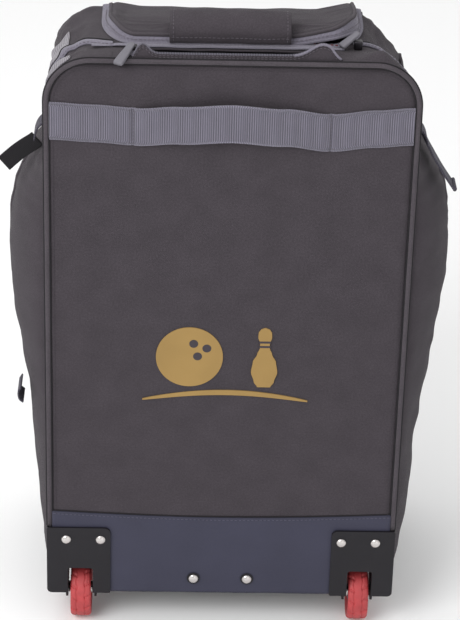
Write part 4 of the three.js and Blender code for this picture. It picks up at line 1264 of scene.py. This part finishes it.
def wheel(side):
    """A tyre with cut lugs and a zigzag groove, its hub and bush, and the axle that stays put."""
    low, high = span(f"{side}_tyre")
    centre = [(a + b) / 2 for a, b in zip(low, high)]
    r, half = (high[2] - low[2]) / 2, (high[0] - low[0]) / 2
    lip, seat, lugs, turns = 24, 19.4, 14, 168
    across = steps(-half, half, 44)
    points, faces = [], []

    def ring_point(t, radius, a):
        points.append((centre[0] + t, centre[1] + radius * math.cos(a), centre[2] + radius * math.sin(a)))

    for k in range(turns):
        a = 2 * math.pi * k / turns
        for t in across:
            edge = half - abs(t)
            base = r - (0 if edge > 4.6 else 0.8 * (1 - edge / 4.6) if edge > 1.6 else 2.2 - edge)
            wave = 1.3 * math.asin(math.sin(lugs * a + math.pi / 2 * (t > 0))) / (math.pi / 2)
            groove = 0.9 * bell((abs(t) - 4.2 - 0.5 * wave) / 0.6)
            slot = math.cos(lugs * a + (1.6 if t > 0 else 0.0) + 0.22 * abs(t))
            groove += 1.5 * smooth((slot - 0.78) / 0.14) * smooth((abs(t) - 3.4) / 0.8)
            ring_point(t, base - groove, a)
        for t in (half - 0.2, half - 2.0, -half + 2.0, -half + 0.2):
            ring_point(t, lip if abs(t) > half - 1 else seat, a)
    n = len(across) + 4
    for k in range(turns):
        for i in range(n):
            a, b = k * n + i, k * n + (i + 1) % n
            c, d = ((k + 1) % turns) * n + (i + 1) % n, ((k + 1) % turns) * n + i
            faces.append((a, d, c, b))
    face_outwards(mesh_piece(f"{side}_tyre_rubber", points, faces, RED, f"{side}_wheel", None,
                             [f"{side}_tyre"]))
    rounded_copy(f"{side}_hub_disc", f"{side}_hub", PULL_GREY, f"{side}_wheel", 0.5, 3)
    bush = [(3.35, -13), (5.8, -13), (6.05, -12.7), (6.05, 12.7), (5.8, 13), (3.35, 13), (3.35, -13)]
    turned(f"{side}_bush", bush, "x", centre, STEEL, f"{side}_wheel", [f"{side}_bearing"])
    pin = [(0, -17.5), (4.6, -17.5), (5.4, -17), (5.4, -16.2), (3, -16.2)]
    pin += [(radius, -t) for radius, t in reversed(pin)]
    turned(f"{side}_axle_pin", pin, "x", centre, STEEL, "bag", [f"{side}_axle"])


# ------------------------------------------------------------------ set, light and camera
def studio():
    """A pale floor that curves up behind the bag, an even sky and three soft lamps."""
    floor = bpy.data.meshes.new("floor")
    size, back, rise, r = 30, 12, 12, 3
    bend = [(back - r + r * math.sin(a), r - r * math.cos(a)) for a in steps(0, math.pi / 2, 16)]
    profile = [(-size, 0), *bend, (back, rise)]
    verts = [(x, y, z) for y, z in profile for x in (-size, size)]
    strips = [(2 * i, 2 * i + 1, 2 * i + 3, 2 * i + 2) for i in range(len(profile) - 1)]
    floor.from_pydata(verts, [], strips)
    ground = bpy.data.objects.new("floor", floor)
    bpy.context.scene.collection.objects.link(ground)
    paper = Paint("paper", 0.95)
    paper.colour([0.97, 0.97, 0.97, 1])
    floor.materials.append(paper.material)

    world = bpy.data.worlds.new("sky")
    bpy.context.scene.world = world
    world.use_nodes = True
    world.node_tree.nodes["Background"].inputs[0].default_value = (1, 1, 1, 1)
    world.node_tree.nodes["Background"].inputs[1].default_value = 0.8

    lamps = (("key", (-1.5, -2.0, 2.1), 1.6, 52), ("fill", (1.2, -2.8, 1.0), 2.0, 7),
             ("top", (-0.4, 0.4, 2.4), 1.4, 8))
    for name, place, size, power in lamps:
        lamp = bpy.data.lights.new(name, "AREA")
        lamp.size, lamp.energy = size, power
        obj = bpy.data.objects.new(name, lamp)
        obj.location = place
        obj.rotation_euler = (Vector((0, -0.1, 0.35)) - Vector(place)).to_track_quat("-Z", "Y").to_euler()
        bpy.context.scene.collection.objects.link(obj)


def camera():
    """The photo's viewpoint: 28 degrees above the horizon and 2.5 m from the bag."""
    tilt, turn, roll = math.radians(28), math.radians(-1.52), math.radians(1.597)
    target = Vector((0.00269, -0.139, 0.3707))
    back = Vector((math.sin(turn) * math.cos(tilt), -math.cos(turn) * math.cos(tilt), math.sin(tilt)))
    right = (-back).cross(Vector((0, 0, 1))).normalized()
    up = right.cross(-back).normalized()
    across = right * math.cos(roll) + up * math.sin(roll)
    above = -right * math.sin(roll) + up * math.cos(roll)
    data = bpy.data.cameras.new("camera")
    data.lens, data.sensor_width = 148.92, 36
    data.clip_end = 100
    obj = bpy.data.objects.new("camera", data)
    obj.matrix_world = Matrix((across, above, back)).transposed().to_4x4()
    obj.location = target + 2.5 * back
    bpy.context.scene.collection.objects.link(obj)
    bpy.context.scene.camera = obj
    bpy.context.scene.view_settings.view_transform = "Standard"


back_panel()
lower_wrap()
grab_handle()
emblem()
sides()
side_pocket_trim()
shoulders()
top_cloth()
front_cloth()
front_pocket()
mouth_trim()
shoulder_tapes()
lid()
lid_base_tape()
haul_handle()
straps()
hardware()
studio()
camera()
